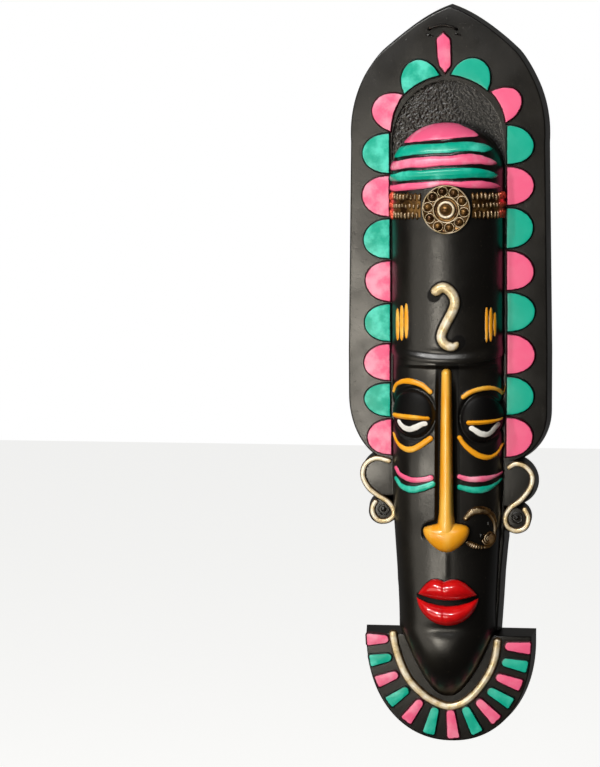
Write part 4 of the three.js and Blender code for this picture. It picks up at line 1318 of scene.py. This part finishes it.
niche_ground = new_mesh("niche_ground", *niche_slab())
run_tree(niche_ground, stipple_tree(), {**STIPPLE, "Finish": rough_clay})
smooth(niche_ground.data, 60)
hand_over(niche_ground, rough_clay)

# %% [markdown]
# ## Pads and bars
#
# The scallops of the border, the dart over the cap and the bars of the collar are the same
# thing: a bed of clay with a rounded edge and a slight crown, painted in one colour. Their
# outlines differ. The border follows a line up each side of the head and round the recess, and
# the places where one scallop ends and the next begins were spaced by eye, so they are kept as
# a short measured list for each side.


# %% Cushions of clay
BED = {"sunk": 4.0, "wall": 0.15, "rim": 0.25}  # wall: the upright share of the rise


def cushion(outline, rise, edge=1.3, crown=0.7, painted_sheen=1.0):
    """A closed bed: walls, a rounded edge and a crowned top. rim is the distance from the edge."""
    centre = outline.mean(0)
    rings, rims = [], []

    def add(ring, up, rim):
        rings.append(at(ring[:, 0], PLATE_DEPTH + up, ring[:, 1]))
        rims.append(np.full(len(ring), rim))

    add(outline, -BED["sunk"], -1.0)
    add(outline, rise * BED["wall"], 0.0)
    for turn in np.radians([22, 45, 67, 90]):
        moved = edge * (1 - math.cos(turn))
        up = rise * mix(BED["wall"], 1, math.sin(turn))
        add(inset(outline, moved), up, moved + BED["rim"])
    last = inset(outline, edge)
    for share in (0.12, 0.3, 0.5, 0.7, 0.88):
        up = rise + crown * (1 - (1 - share) ** 2)
        add(mix(last, centre, share), up, edge + BED["rim"] + 6 * share)
    points, faces = loft(rings)
    points[-1] = at(centre[0], PLATE_DEPTH + rise + crown, centre[1])
    rims = np.concatenate([*rims, [-1.0, 9.0]])
    # the last attribute says how much the bed's paint is paled, a painted highlight where the light
    # falls
    return points, faces, {"rim": rims, "painted_sheen": np.full(len(points), painted_sheen)}


# %% The scalloped border
PAD_FEET = {-1: 46.5, 1: 47.1}
LEFT_KNOTS = [368.8, 337.2, 307.4, 275.2, 242.5, 207.4, 173.1, 138.0, 103.6]
RIGHT_KNOTS = [369.2, 334.6, 301.0, 266.3, 232.4, 198.4, 163.4, 130.3, 97.0]
LEFT_SHIFTS = [2.6, 0.2, 0.0, 0.6, 1.4, 0.0, -1.0, -0.6]
RIGHT_SHIFTS = [0.2, 1.0, 1.8, 1.8, 0.7, 0.0, 0.5, 0.3]
LEFT_ARCH = [((-45.6, 104.6), (-34.8, 73.0)), ((-35.6, 74.6), (-5.0, 58.6))]
RIGHT_ARCH = [((46.4, 97.4), (33.2, 70.6)), ((32.9, 71.8), (1.0, 58.2))]
SCALLOP = {"deep": 22.6, "gap": 0.3, "rise": 2.5, "points": 44, "bow": 2.6}


def pad_feet():
    """The side, depth, bow and two ends of each scallop, from the lowest to the highest."""
    for side, knots, shifts, arch in ((-1, LEFT_KNOTS, LEFT_SHIFTS, LEFT_ARCH),
                                      (1, RIGHT_KNOTS, RIGHT_SHIFTS, RIGHT_ARCH)):
        for first, last, shift in zip(knots, knots[1:], shifts):
            x = side * PAD_FEET[side] + 0.4 * shift
            deep = SCALLOP["deep"] + 0.8 + 0.6 * side * shift
            yield side, deep, 0.0, np.array([x, first]), np.array([x, last])
        for first, last in arch:
            yield side, SCALLOP["deep"], SCALLOP["bow"], np.array(first), np.array(last)


def scallop_outline(side, deep, bow, a, b, wobble):
    """A half-disc on the foot from a to b. The foot bows out where it follows the arch."""
    chord = np.linalg.norm(b - a)
    along = (b - a) / chord
    half = chord / 2 - SCALLOP["gap"] / 2
    outward = np.array([-along[1], along[0]]) * side
    middle = (a + b) / 2
    turn = np.linspace(0, np.pi, SCALLOP["points"])
    skew = 1 + wobble * np.cos(turn)
    across = (half * np.cos(turn))[:, None] * along
    bulge = (deep * skew * np.sin(turn) ** 0.86)[:, None] * outward
    t = np.linspace(-1, 1, 14)[1:-1, None]
    foot = middle + t * half * along + bow * (1 - t * t) * outward
    return np.vstack([middle + across + bulge, foot])


def border_pads():
    """The outlines of all twenty scallops with their colour and side."""
    for i, (side, *feet) in enumerate(pad_feet()):
        place = i % len(LEFT_SHIFTS + LEFT_ARCH)
        wobble = 0.05 * math.sin(2.4 * place + side)
        yield ("pink", "teal")[place % 2], side, scallop_outline(side, *feet, wobble)


def pads_of(colour):
    parts = []
    for name, side, outline in border_pads():
        if name == colour:
            # painted highlight: pads on the lit left are painted paler than those on the right
            painted_sheen = 1.0 if side < 0 else 0.1
            parts.append(cushion(outline, SCALLOP["rise"], crown=0.25, painted_sheen=painted_sheen))
    return join(parts)


hand_over(new_mesh("border_pads_pink", *pads_of("pink")), pink_pad)
hand_over(new_mesh("border_pads_teal", *pads_of("teal")), teal_pad)

# %% The dart over the recess
DART = [
    (-2.1, 57.6), (3.3, 50.9), (3.6, 46), (3.0, 29.0), (1.9, 27.2), (-3.6, 22.4), (-9.2, 27.2),
    (-10.0, 29.4), (-9.0, 44.0), (-7.3, 51.4), (-2.1, 57.6),
]
dart_outline = respaced(np.array(DART), 61)[:-1]
# the dart's paint is paled part way, a painted highlight
hand_over(new_mesh("dart", *cushion(dart_outline, rise=2.0, edge=1.1, painted_sheen=0.6)), pink_pad)

# %% The collar's bars
BARS = {"count": 13, "drop": 517.5, "from": 4.6, "to": 171.7, "bunch": 3.6, "turn": 5.5}
BAR_INNER = {"x": -0.8, "wide": 50.2, "tall": 64.4, "half": 4.5}
BAR_OUTER = {"x": 0.8, "wide": 69.6, "tall": 88.8, "half": 6.1, "corner": 1.6}


def on_oval(oval, degrees):
    turn = math.radians(degrees)
    c, s = math.cos(turn), math.sin(turn)
    reach = oval["wide"] * oval["tall"] / math.hypot(oval["tall"] * c, oval["wide"] * s)
    return np.array([oval["x"] + 1.5 * s**4 - reach * c, BARS["drop"] + reach * s])


def bar_outline(t):
    outer = mix(BARS["from"], BARS["to"], t) + BARS["bunch"] * math.sin(math.pi * t)
    inner = outer + BARS["turn"] * math.sin(math.radians(2 * outer))
    foot, end = on_oval(BAR_INNER, inner), on_oval(BAR_OUTER, outer)
    along = (end - foot) / np.linalg.norm(end - foot)
    across = np.array([-along[1], along[0]])
    turn = np.linspace(-np.pi / 2, np.pi / 2, 13)
    nose = foot + along * (BAR_INNER["half"] * 0.4)
    inner_end = (nose - np.cos(turn)[:, None] * along * BAR_INNER["half"]
                 + np.sin(turn)[:, None] * across * BAR_INNER["half"])
    half, corner = across * BAR_OUTER["half"], BAR_OUTER["corner"]
    outer_end = [end + half - along * corner, end + half - across * corner,
                 end - half + across * corner, end - half - along * corner]
    line = np.vstack([inner_end, outer_end, inner_end[:1]])
    return respaced(line, 57)[:-1]


def bars_of(first):
    parts = []
    for i in range(first, BARS["count"], 2):
        t = i / (BARS["count"] - 1)
        # painted highlight: the bars are painted paler towards the lit left end of the collar
        parts.append(cushion(bar_outline(t), rise=1.7, edge=1.0, crown=0.5, painted_sheen=1 - 0.8 * t))
    return join(parts)


hand_over(new_mesh("collar_bars_pink", *bars_of(0)), pink_pad)
hand_over(new_mesh("collar_bars_teal", *bars_of(1)), teal_pad)

# %% [markdown]
# ## Rolled cords of clay
#
# The collar's cord, the scrolls in the ears, the hook on the forehead and the ring in the
# nostril were rolled out and pressed on. Each is a path with a thickness along it, and one
# Geometry Nodes tree sweeps a circle along the path: it turns the mesh line into a curve, sets
# its radius from an attribute, and closes the ends. The path is felt out on the clay first, so
# that the cord lies half sunk in it.

# %% A node tree that sweeps a path
CORD_SIDES = 14


def sweep_tree():
    group, start, end = node_tree("rolled cord", {
        "Sides": "NodeSocketInt", "Finish": "NodeSocketMaterial"})
    curve = add_node(group, "GeometryNodeMeshToCurve", [("Mesh", start.outputs[0])])
    size = tree_attribute(group, "thick")
    thick = add_node(group, "GeometryNodeSetCurveRadius", [
        ("Curve", curve.outputs[0]), ("Radius", size)])
    section = add_node(group, "GeometryNodeCurvePrimitiveCircle", [
        ("Resolution", start.outputs["Sides"]), ("Radius", 1.0)])
    swept = add_node(group, "GeometryNodeCurveToMesh", [
        ("Curve", thick.outputs[0]), ("Profile Curve", section.outputs[0]), ("Fill Caps", True)])
    if "Scale" in swept.inputs:
        group.links.new(size, swept.inputs["Scale"])
    return finish_tree(group, start, end, swept)


rolled_cord = sweep_tree()


BLUNT = 0.9  # how far from its end a cord is at full thickness, in radii


def round_ends(line, radius):
    """Radii along a line that close it with round ends."""
    run = run_along(line)
    gap = np.minimum(run, run[-1] - run)
    radius = np.broadcast_to(radius, len(line)).astype(float)
    share = np.clip(gap / (radius * BLUNT), 0, 1)
    return radius * np.sqrt(np.clip(1 - (1 - share) ** 2, 0.004, 1))


def cords(name, lines, finish, sides=CORD_SIDES):
    """One piece of several swept lines, each an array of x, out, drop and radius in mm."""
    points, edges, radii = [], [], []
    for line in lines:
        first = len(points)
        points += at(line[:, 0], line[:, 1], line[:, 2]).tolist()
        edges += [(first + i, first + i + 1) for i in range(len(line) - 1)]
        radii += list(line[:, 3] * MM)
    data = bpy.data.meshes.new(name)
    data.from_pydata(points, edges, [])
    set_values(data, "thick", radii)
    piece = add_object(name, data)
    run_tree(piece, rolled_cord, {"Sides": sides, "Finish": finish})
    mark_painted_light(piece, least=0.3)
    smooth(piece.data, 60)
    return piece


def mark_painted_light(piece, most=1.0, least=0.0, turn=0.6):
    """An attribute that falls from most, a painted highlight on what faces the front, to least,
    painted shade on the flanks.
    """
    front = -vertex_rows(piece.data, "normal")[:, 1]
    set_values(piece.data, "painted_light", mix(least, most, ease((front - turn) / 0.32)))


def laid(line, radius, ground, lift=0.0):
    """A line of x and drop laid on the ground, with radii that round its ends."""
    out = ground(line[:, 0], line[:, 1]) + lift
    return np.column_stack([line[:, 0], out, line[:, 1], round_ends(line, radius)])


def on_plate(x, drop):
    return np.full(np.shape(x), float(PLATE_DEPTH))


def lapped(knots, count):
    """A path whose points crowd towards its ends, so that they can be round."""
    line = spline(knots, count * 6)
    t = (1 - np.cos(np.linspace(0, np.pi, count))) / 2
    return line[np.round(mix(np.linspace(0, 1, count), t, 0.75) * (len(line) - 1)).astype(int)]


print("the cord tree has", len(rolled_cord.nodes), "nodes")

# %% The collar's cord
CORD_KNOTS = [
    (-46, 514.3), (-43.3, 529.5), (-38.3, 544.6), (-30.8, 558), (-17.8, 570.4), (-4.9, 576.9),
    (3.5, 577.9), (14.3, 573.8), (24.8, 563.8), (34.3, 549.6), (39.6, 535.2), (41.7, 519.1),
]
collar_line = laid(lapped(CORD_KNOTS, 90), radius=3.7, ground=on_plate, lift=0.2)
hand_over(cords("collar_cord", [collar_line], gold_paint), gold_paint)

# %% The scrolls in the ears
LEFT_SCROLL = [
    (-46.6, 374.2), (-50.6, 372.4), (-60, 371.1), (-68.3, 376.6), (-70.1, 385.9), (-65.5, 395.4),
    (-58, 401.6), (-49.7, 406.8), (-44.9, 413.4), (-45.2, 418.9), (-50.2, 422.8), (-57.2, 422.6),
    (-61.6, 417.6), (-62, 411.2), (-58.6, 405.4),
]
RIGHT_SCROLL = [
    (48.8, 378.1), (56.2, 373.9), (64.4, 376.3), (69.7, 383.6), (68.2, 393.2), (60.4, 403.8),
    (51.9, 410.4), (47.8, 417.9), (49.2, 425.6), (56.4, 429.5), (64.2, 426.4), (66.6, 418.2),
    (62.6, 409.6),
]
LOOP_CENTRES = [(-53.2, 413.4), (57.2, 418.8)]


def cord_loops(places, radius, out, thick, count):
    """Small level rings of cord, one round each place."""
    turn = np.linspace(0, 2 * np.pi, count + 1)
    for x, drop in places:
        yield np.column_stack([
            x + radius * np.cos(turn), np.full(count + 1, out), drop - radius * np.sin(turn),
            np.full(count + 1, thick)])


scroll_lines = [laid(lapped(knots, 96), radius=2.4, ground=on_plate, lift=0.6)
                for knots in (LEFT_SCROLL, RIGHT_SCROLL)]
hand_over(cords("ear_scrolls", scroll_lines, gold_paint), gold_paint)

# %% The hook on the forehead
def hook_line():
    line = lapped(HOOK, 84)
    share = np.linspace(0, 1, len(line))
    radius = HOOK_RADIUS * mix(1.0, 0.86, share) * (1 - 0.5 * ease((share - 0.8) / 0.2))
    return laid(line, radius, ground=head_out, lift=0.4)


hook = cords("forehead_hook", [hook_line()], gold_paint)
mark_painted_light(hook, least=0.3, turn=0.42)
hand_over(hook, gold_paint)

# %% [markdown]
# ## Nose and lips
#
# The nose is a long rounded bar that ends in a shield-shaped tip, and the lips are two full
# cushions. They stand higher and have sharper edges than a displaced grid can carry, so each
# is its own closed piece: the bar is lofted through sections, the tip is a dome over its
# outline, and each lip is a slab whose front bulges between its two edges.

# %% The nose
NOSE_ROWS = [  # drop, half width of the painted top, how far out
    (293.6, 1.2, 50.2),
    (294.0, 2.3, 52.4),
    (295.0, 3.3, 53.8),
    (297.0, 4.1, 54.6),
    (320.0, 4.5, 55.2),
    (352.0, 4.9, 56.0),
    (383.0, 5.4, 57.2),
    (399.0, 5.6, 58.2),
    (408.0, 5.8, 58.9),
    (414.0, 6.2, 59.4),
    (419.0, 6.9, 59.8),
    (424.0, 8.2, 59.9),
    (429.0, 9.0, 59.3),
    (434.0, 7.8, 57.6),
]
TIP_OUTLINE = [
    (0.0, 443.6), (5.0, 442.4), (10.8, 438.8), (15.8, 433.6), (18.7, 427.6), (18.4, 423.4),
    (15.0, 421.0), (8.6, 419.8), (0, 418.6), (-8.6, 420.4), (-14.8, 422.0), (-18.2, 423.6),
    (-18.8, 427.2), (-16.6, 432.4), (-11.6, 438.0), (-5.6, 442.2), (0.0, 443.6),
]


NOSE_SPREAD, NOSE_POWER = 1.04, 2 / 2.7
NOSE_BASE, NOSE_FOOT = FACE_OUT - 8, FACE_OUT - 9


def nose_bar():
    turn = np.linspace(0, np.pi, 23)
    c, s = np.cos(turn), np.sin(turn)
    rings = []
    for drop, half, out in NOSE_ROWS:
        wide = half * NOSE_SPREAD
        front = at(wide * np.sign(c) * np.abs(c) ** NOSE_POWER,
                   mix(NOSE_BASE, out, np.abs(s) ** NOSE_POWER), drop)
        rings.append(np.vstack([front, at([-wide, wide], NOSE_FOOT, drop)]))
    points, faces = loft(rings)
    return points, faces, {"rim": np.full(len(points), 2.0)}


def dome(outline, centre, foot, height, power=2.3, steps=16):
    """A closed dome over an outline: its height falls from the centre to the edge."""
    rings, rims = [at(outline[:, 0], foot - 8, outline[:, 1])], [np.full(len(outline), -1.0)]
    reach = np.linalg.norm(outline - centre, axis=1)
    for share in np.linspace(1, 0.06, steps) ** 0.7:
        ring = mix(np.asarray(centre, float), outline, share)
        up = height * (1 - share**power) ** 0.5
        rings.append(at(ring[:, 0], foot + up, ring[:, 1]))
        rims.append(reach * (1 - share) + 0.35)
    points, faces = loft(rings)
    return points, faces, {"rim": np.concatenate([*rims, [-1.0, 9.0]])}


def nose_tip():
    outline = spline(TIP_OUTLINE, 81)[:-1]
    return dome(outline, centre=(0.3, 430.0), foot=FACE_OUT + 1.5, height=9.6)


hand_over(new_mesh("nose", *join([nose_bar(), nose_tip()]), crease=55), ochre_paint)

# %% The lips
LIPS = {
    "x": 0.8, "half": 25.4, "dip": 467.4, "peak": 3.8, "mouth": 480.4, "sink": 5.0,
    "bottom": 503.8, "rise": 9, "cleft": -0.11,
}
LIP_GRID = (72, 26)


def lip(top_edge, end_edge, fullest, groove):
    """One lip between two edges, as a slab whose front bulges. groove is its cleft's depth."""
    columns, down = LIP_GRID
    u = -np.cos(np.linspace(0, np.pi, columns + 1))[:, None]
    v = np.linspace(0, 1, down + 1)[None, :]
    drop = mix(top_edge(u), end_edge(u), v)
    x = LIPS["x"] + LIPS["half"] * u + 0 * v
    bulge = (np.sin(np.pi * v**fullest) ** 0.62
             * np.clip(1 - np.abs(u) ** 2.4, 0, 1) ** 0.6)
    cleft = groove * np.exp(-((u - LIPS["cleft"]) / 0.05) ** 2) * np.sin(np.pi * v) ** 0.5
    ground = head_out(x, drop)
    front = at(x, ground + 0.2 + (LIPS["rise"] - cleft) * bulge, drop).reshape(-1, 3)
    back = at(x, ground - 5, drop).reshape(-1, 3)
    tall = np.abs(end_edge(u) - top_edge(u))
    rim = (np.minimum(v, 1 - v) * tall).reshape(-1)
    rim = np.concatenate([rim, np.full(len(back), -1.0)])
    return np.vstack([front, back]), slab_faces(columns + 1, down + 1), {"rim": rim}


def bow(u):
    """The upper lip's upper edge, a cupid's bow with its dip at the cleft."""
    cleft = LIPS["cleft"]
    w = (u - cleft) / (1 - np.sign(u - cleft) * cleft)
    return mix(LIPS["dip"], LIPS["mouth"], w * w) - LIPS["peak"] * np.sin(np.pi * np.abs(w))


def parting(u):
    return LIPS["mouth"] + LIPS["sink"] * (1 - u * u)


def lower_edge(u):
    return mix(LIPS["mouth"] + 1.5, LIPS["bottom"], np.sqrt(np.clip(1 - u * u, 0, 1)) ** 1.1)


def upper_lip():
    return lip(bow, lambda u: parting(u) - 1.3 - 0.4 * (1 - u * u), fullest=0.85, groove=0.45)


def lower_lip():
    return lip(lambda u: parting(u) + 1.3 + 0.9 * (1 - u * u), lambda u: lower_edge(u) + 0.8,
               fullest=0.95, groove=0.6)


hand_over(new_mesh("lips", *join([upper_lip(), lower_lip()]), crease=60), red_lacquer)

# %% [markdown]
# ## Small repeated work
#
# Beads, teeth and rings are one shape many times over. A second Geometry Nodes tree puts a
# copy of a small shape on every point of a cloud, turned and sized by the attributes of that
# point, and makes the copies real.

# %% A node tree that sets copies on points
def copies_tree():
    group, start, end = node_tree("set copies", {
        "Shape": "NodeSocketObject", "Finish": "NodeSocketMaterial"})
    shape = add_node(group, "GeometryNodeObjectInfo", [("Object", start.outputs["Shape"])])
    set_down = add_node(group, "GeometryNodeInstanceOnPoints", [
        ("Points", start.outputs[0]), ("Instance", shape.outputs["Geometry"]),
        ("Rotation", tree_attribute(group, "turn", "FLOAT_VECTOR")),
        ("Scale", tree_attribute(group, "size", "FLOAT_VECTOR"))])
    return finish_tree(group, start, end, set_down)


set_copies = copies_tree()


def ball_shape(columns=14, down=9):
    """A unit ball as a closed mesh, its poles to front and back."""
    rings = []
    for polar in np.linspace(0, np.pi, down + 2)[1:-1]:
        turn = np.linspace(0, 2 * np.pi, columns, endpoint=False)
        rings.append(np.column_stack([np.sin(polar) * np.cos(turn),
                                      np.full(columns, -np.cos(polar)),
                                      np.sin(polar) * np.sin(turn)]))
    points, faces = loft(rings)
    points[-2], points[-1] = (0, -1, 0), (0, 1, 0)
    return points, faces


def copies(name, shape, places, turns, sizes, finish, painted_light=1.0):
    """A piece made of copies of a unit shape. Places in metres, sizes in mm, turns in radians."""
    source = new_mesh(name + "_shape", *shape)
    data = bpy.data.meshes.new(name)
    data.from_pydata(np.asarray(places).tolist(), [], [])
    for key, rows_of in (("turn", np.asarray(turns, float)), ("size", np.asarray(sizes) * MM)):
        layer = data.attributes.new(key, "FLOAT_VECTOR", "POINT")
        layer.data.foreach_set("vector", np.broadcast_to(rows_of, (len(places), 3)).ravel())
    piece = add_object(name, data)
    run_tree(piece, set_copies, {"Shape": source, "Finish": finish})
    bpy.data.objects.remove(source)
    mark_painted_light(piece, most=painted_light)
    smooth(piece.data, 50)
    return piece


def hand_over_balls(name, places, sizes, finish, painted_light=1.0):
    """A piece of small balls, each flattened to its size in mm."""
    hand_over(copies(name, ball_shape(), places, (0, 0, 0), sizes, finish, painted_light), finish)


print("the copies tree has", len(set_copies.nodes), "nodes")

# %% The ridged bands beside the brooch
TEETH = {"pitch": 3.7, "inner": 20.6, "outer": 46.6}
TOOTH_ROWS = [(151.4, 158.4), (159.2, 164.6), (165.6, 173.0)]
STRAP = {"top": 152.4, "end": 172.0, "rise": 0.7, "sunk": 2.0, "slope": 0.8}
CORAL_FROM = 42.0  # beyond this x the band is coral red


def along_band(count):
    """Steps along the head's section from the brooch to the side, with run, x, out and slope."""
    x = np.linspace(TEETH["inner"], TEETH["outer"], count)
    out = head_out(x, 162)
    slope = np.arctan2(-np.gradient(out), np.gradient(x))
    return run_along(np.column_stack([x, out])), x, out, slope


def tooth_places():
    """Teeth follow the head's section, at equal steps along the clay, not along x."""
    places, turns, sizes = [], [], []
    rng = np.random.default_rng(11)
    for side in (-1, 1):
        run, x, out, slopes = along_band(400)
        for row, (top, end) in enumerate(TOOTH_ROWS):
            for reach in np.arange(0.9 + 1.1 * row, run[-1], TEETH["pitch"]):
                px, po = np.interp(reach, run, x), np.interp(reach, run, out)
                slope = np.interp(reach, run, slopes)
                drop = (top + end) / 2 + rng.normal(0, 0.35) - CAP_TILT * side * px * 0.3
                places.append(at(side * px, po + 0.2, drop))
                turns.append((0, rng.normal(0, 0.09), side * slope))
                sizes.append((1.5 + rng.normal(0, 0.14), 2.0, (end - top) / 2))
    return np.array(places), turns, sizes


def strap_mesh(side):
    """The flat band under the three rows of teeth, a slab that follows the head."""
    _, x, out, slope = along_band(40)
    rings = []
    for px, po, turn in zip(x, out, slope):
        here, away = np.array([px, po]), np.array([math.sin(turn), math.cos(turn)])
        foot, top = here - STRAP["sunk"] * away, here + STRAP["rise"] * away
        section = [(foot, STRAP["top"]), (top, STRAP["top"] + STRAP["slope"]),
                   (top, STRAP["end"] - STRAP["slope"]), (foot, STRAP["end"])]
        rings.append(np.array([at(side * q[0], q[1], drop) for q, drop in section]))
    return (*loft(rings), {})


def mark_coral(piece):
    """Adds the coral red of the band's far ends."""
    x = np.abs(vertex_rows(piece.data, "co")[:, 0]) / MM
    set_values(piece.data, "coral", ease((x - CORAL_FROM) / 2.5))


tooth_at, tooth_turn, tooth_size = tooth_places()
teeth = copies("band_teeth", ball_shape(8, 5), tooth_at, tooth_turn, tooth_size, gold_paint,
               painted_light=0.42)
mark_coral(teeth)
hand_over(teeth, gold_paint)
strap = new_mesh("band_strap", *join([strap_mesh(-1), strap_mesh(1)]))
mark_painted_light(strap, most=0.25)
mark_coral(strap)
hand_over(strap, gold_paint)

# %% The brooch
BROOCH = {"drop": 164.8, "beads": 10, "bead_ring": 14.7, "turn": 0.13}
BROOCH_PROFILE = [  # radius, how far out from the head's ridge, how bright the gilding is painted, a painted highlight on the raised rings
    (19.7, -7.5, 0), (19.7, 0.2, 0.1), (19.5, 1.4, 0.6), (19.0, 1.9, 0.8), (18.5, 1.6, 0.3),
    (18.1, 1.0, 0), (11.6, 0.9, 0), (11.0, 1.3, 0.2), (10.5, 1.9, 0.6), (10.0, 1.9, 0.6),
    (9.5, 1.2, 0.1), (8.8, 0.7, 0), (7.8, 0.8, 0), (7.4, 1.8, 0.2), (6.9, 2.7, 0.6),
    (6.0, 3.2, 0.8), (5.2, 2.8, 0.6), (4.7, 1.8, 0.2), (0.6, 1.2, 0),
]


def turned(profile, x, drop, base, sides=72):
    """A lathe shape facing the front, from radius and height pairs."""
    turn = np.linspace(0, 2 * np.pi, sides, endpoint=False)
    rings = [at(x + radius * np.cos(turn), base + up, drop + radius * np.sin(turn))
             for radius, up, _ in profile]
    # painted highlight: each ring of the lathe shape is painted as bright as its highlight
    painted_gleam = np.repeat([bright for _, _, bright in profile], sides)
    points, faces = loft(rings)
    return points, faces, {"painted_light": np.concatenate([painted_gleam, [0.0, 0.0]])}


def bead_spots():
    turn = 2 * np.pi * np.arange(BROOCH["beads"]) / BROOCH["beads"] + BROOCH["turn"]
    ring = np.column_stack([np.cos(turn), np.sin(turn)]) * BROOCH["bead_ring"]
    return ring + [0, BROOCH["drop"]]


disc = turned(BROOCH_PROFILE, 0, BROOCH["drop"], HEAD_OUT)
hand_over(new_mesh("brooch", *disc, crease=60), gold_paint)
spots = bead_spots()
socket_lines = cord_loops(spots, radius=3.9, out=HEAD_OUT + 1.1, thick=0.75, count=24)
sockets = cords("brooch_sockets", socket_lines, gold_paint, sides=8)
mark_painted_light(sockets, most=0.6)
hand_over(sockets, gold_paint)
bead_at = np.vstack([at(spots[:, 0], HEAD_OUT + 1.0, spots[:, 1]),
                     at(0, HEAD_OUT + 1.8, BROOCH["drop"])[None]])
bead_size = [(3.1, 2.6, 3.1)] * BROOCH["beads"] + [(4.6, 3.6, 4.6)]
hand_over_balls("brooch_beads", bead_at, bead_size, gold_paint, painted_light=0.15)

# %% The ring in the nostril
HOOP = [
    (14.7, 417.6), (17.3, 414.0), (21.4, 410.3), (25.5, 409.1), (30.6, 409.8), (35.1, 412.6),
    (38.0, 417.7), (39.2, 423.3), (39.3, 429.3), (38.9, 435.1), (35.8, 439.1), (31.8, 440.4),
    (27.7, 440.2), (24.1, 439.3), (20.5, 437.7), (16.5, 434.7),
]
HOOP_SHARES = [0, 0.14, 0.28, 0.42, 0.52, 0.74, 0.8, 1]
HOOP_RADII = [2.4, 2.7, 3.8, 2.8, 1.5, 1.5, 2.3, 2.4]
HOOP_BOSS = (34.7, 433.4)
HOOP_BEADS = [(34.1, 421.3), (28.0, 430.9)]
HOOP_GLEAMS = [(21.1, 409.8), (24.8, 408.8)]


def ribbed_hoop():
    line = lapped(HOOP, 150)
    share = np.linspace(0, 1, len(line))
    ribs = np.where(share > 0.72, 0.35 * np.sin(share * 2 * np.pi * 34), 0)
    radius = np.interp(share, HOOP_SHARES, HOOP_RADII) + ribs
    return laid(line, radius, ground=head_out, lift=0.2)


def boss_coil():
    turn = np.linspace(0, 5 * np.pi, 80)
    radius = mix(0.9, 5.4, turn / turn[-1])
    line = np.column_stack([np.cos(turn), np.sin(turn)]) * radius[:, None] + HOOP_BOSS
    return laid(line, radius=0.85, ground=head_out, lift=1.9)


def on_head(places, up):
    """Points that stand this far off the bare head."""
    return [at(x, float(head_out(x, drop)) + up, drop) for x, drop in places]


ring = cords("nose_ring", [ribbed_hoop(), boss_coil()], gold_paint, sides=10)
mark_painted_light(ring, most=0.5)
hand_over(ring, gold_paint)
hand_over_balls("nose_ring_boss", on_head([HOOP_BOSS], 0.2), [(6.0, 2.6, 6.0)], gold_paint,
                painted_light=0.3)
# two small bands on the ring, painted full pale gold as painted highlights
hand_over_balls("nose_ring_bands", on_head(HOOP_GLEAMS, 2.6), [(0.9, 1.0, 2.0)] * 2, gold_paint)
hand_over_balls("nose_ring_beads", on_head(HOOP_BEADS, 0.4), [(1.5, 1.8, 2.6)] * 2, bare_clay)

# %% The beads in the ear loops
loop_lines = cord_loops(LOOP_CENTRES, radius=4.3, out=PLATE_DEPTH + 0.1, thick=0.8, count=28)
hand_over(cords("ear_loops", loop_lines, bare_clay, sides=8), bare_clay)
ear_beads = [at(x, PLATE_DEPTH + 0.4, drop) for x, drop in LOOP_CENTRES]
hand_over_balls("ear_beads", ear_beads, [(2.4, 1.8, 2.4)] * 2, bare_clay)

# %% [markdown]
# ## The hanging wire
#
# The mask hangs from a loop of blackened iron wire that passes through two holes near its tip
# and lies across a pocket behind. It is a piece of its own in the frame, so here it is swept
# again along the same route with more sides.

# %% Crumbs of clay under the holes
CRUMBS = [  # x, drop, width, height
    (-15.4, 25.6, 2.2, 1.0), (-12.6, 26.6, 1.4, 0.8), (7.4, 24.8, 1.8, 0.9), (9.6, 25.6, 1.2, 0.8),
]
crumb_at = [at(x, PLATE_DEPTH, drop) for x, drop, _, _ in CRUMBS]
crumb_size = [(wide, 0.8, tall) for _, _, wide, tall in CRUMBS]
hand_over_balls("clay_crumbs", crumb_at, crumb_size, bare_clay)

# %% The wire
WIRE = {"radius": 0.9, "gap": 0.3, "bow": 3.2, "slack": 1.5}
WIRE_POINTS, WIRE_LAP = 260, 60


def wire_route():
    """Points the wire passes: over the front, through a hole, across the pocket and back."""
    half = HANG["half"]
    front = PLATE_DEPTH + WIRE["gap"] + WIRE["radius"]
    back = HANG["pocket"] - WIRE["gap"] - WIRE["radius"] - WIRE["slack"]
    deep = HANG["pocket"] + 2
    bow, slant = WIRE["bow"], HANG["slant"]
    route = [
        (-half, front - 2.4, 0), (-half + 1.6, front, bow * 0.3), (0, front, bow),
        (half - 1.6, front, bow * 0.3), (half, front - 2.4, 0), (half + slant, deep, 0),
        (half + slant, back + 1.6, 0), (half - 1.8, back, 0), (0, back, 1.2),
        (-half + 1.8, back, 0), (-half + slant, back + 1.6, 0), (-half + slant, deep, 0),
    ]
    return [(HANG["x"] + x, out, HANG["drop"] - up) for x, out, up in route]


def wire_line():
    """The route made smooth. It laps over itself, so the loop is cut out where it closes."""
    route = wire_route()
    line = spline(np.array(route[-2:] + route + route[:2], float), WIRE_POINTS)
    away = np.linalg.norm(line - route[0], axis=1)
    first = np.argmin(away[:WIRE_LAP])
    last = WIRE_POINTS - WIRE_LAP + np.argmin(away[-WIRE_LAP:])
    loop = line[first:last + 1]
    return np.column_stack([loop, np.full(len(loop), WIRE["radius"])])


hand_over(cords("wire_loop", [wire_line()], black_wire, sides=12), black_wire,
          "hanging_wire")
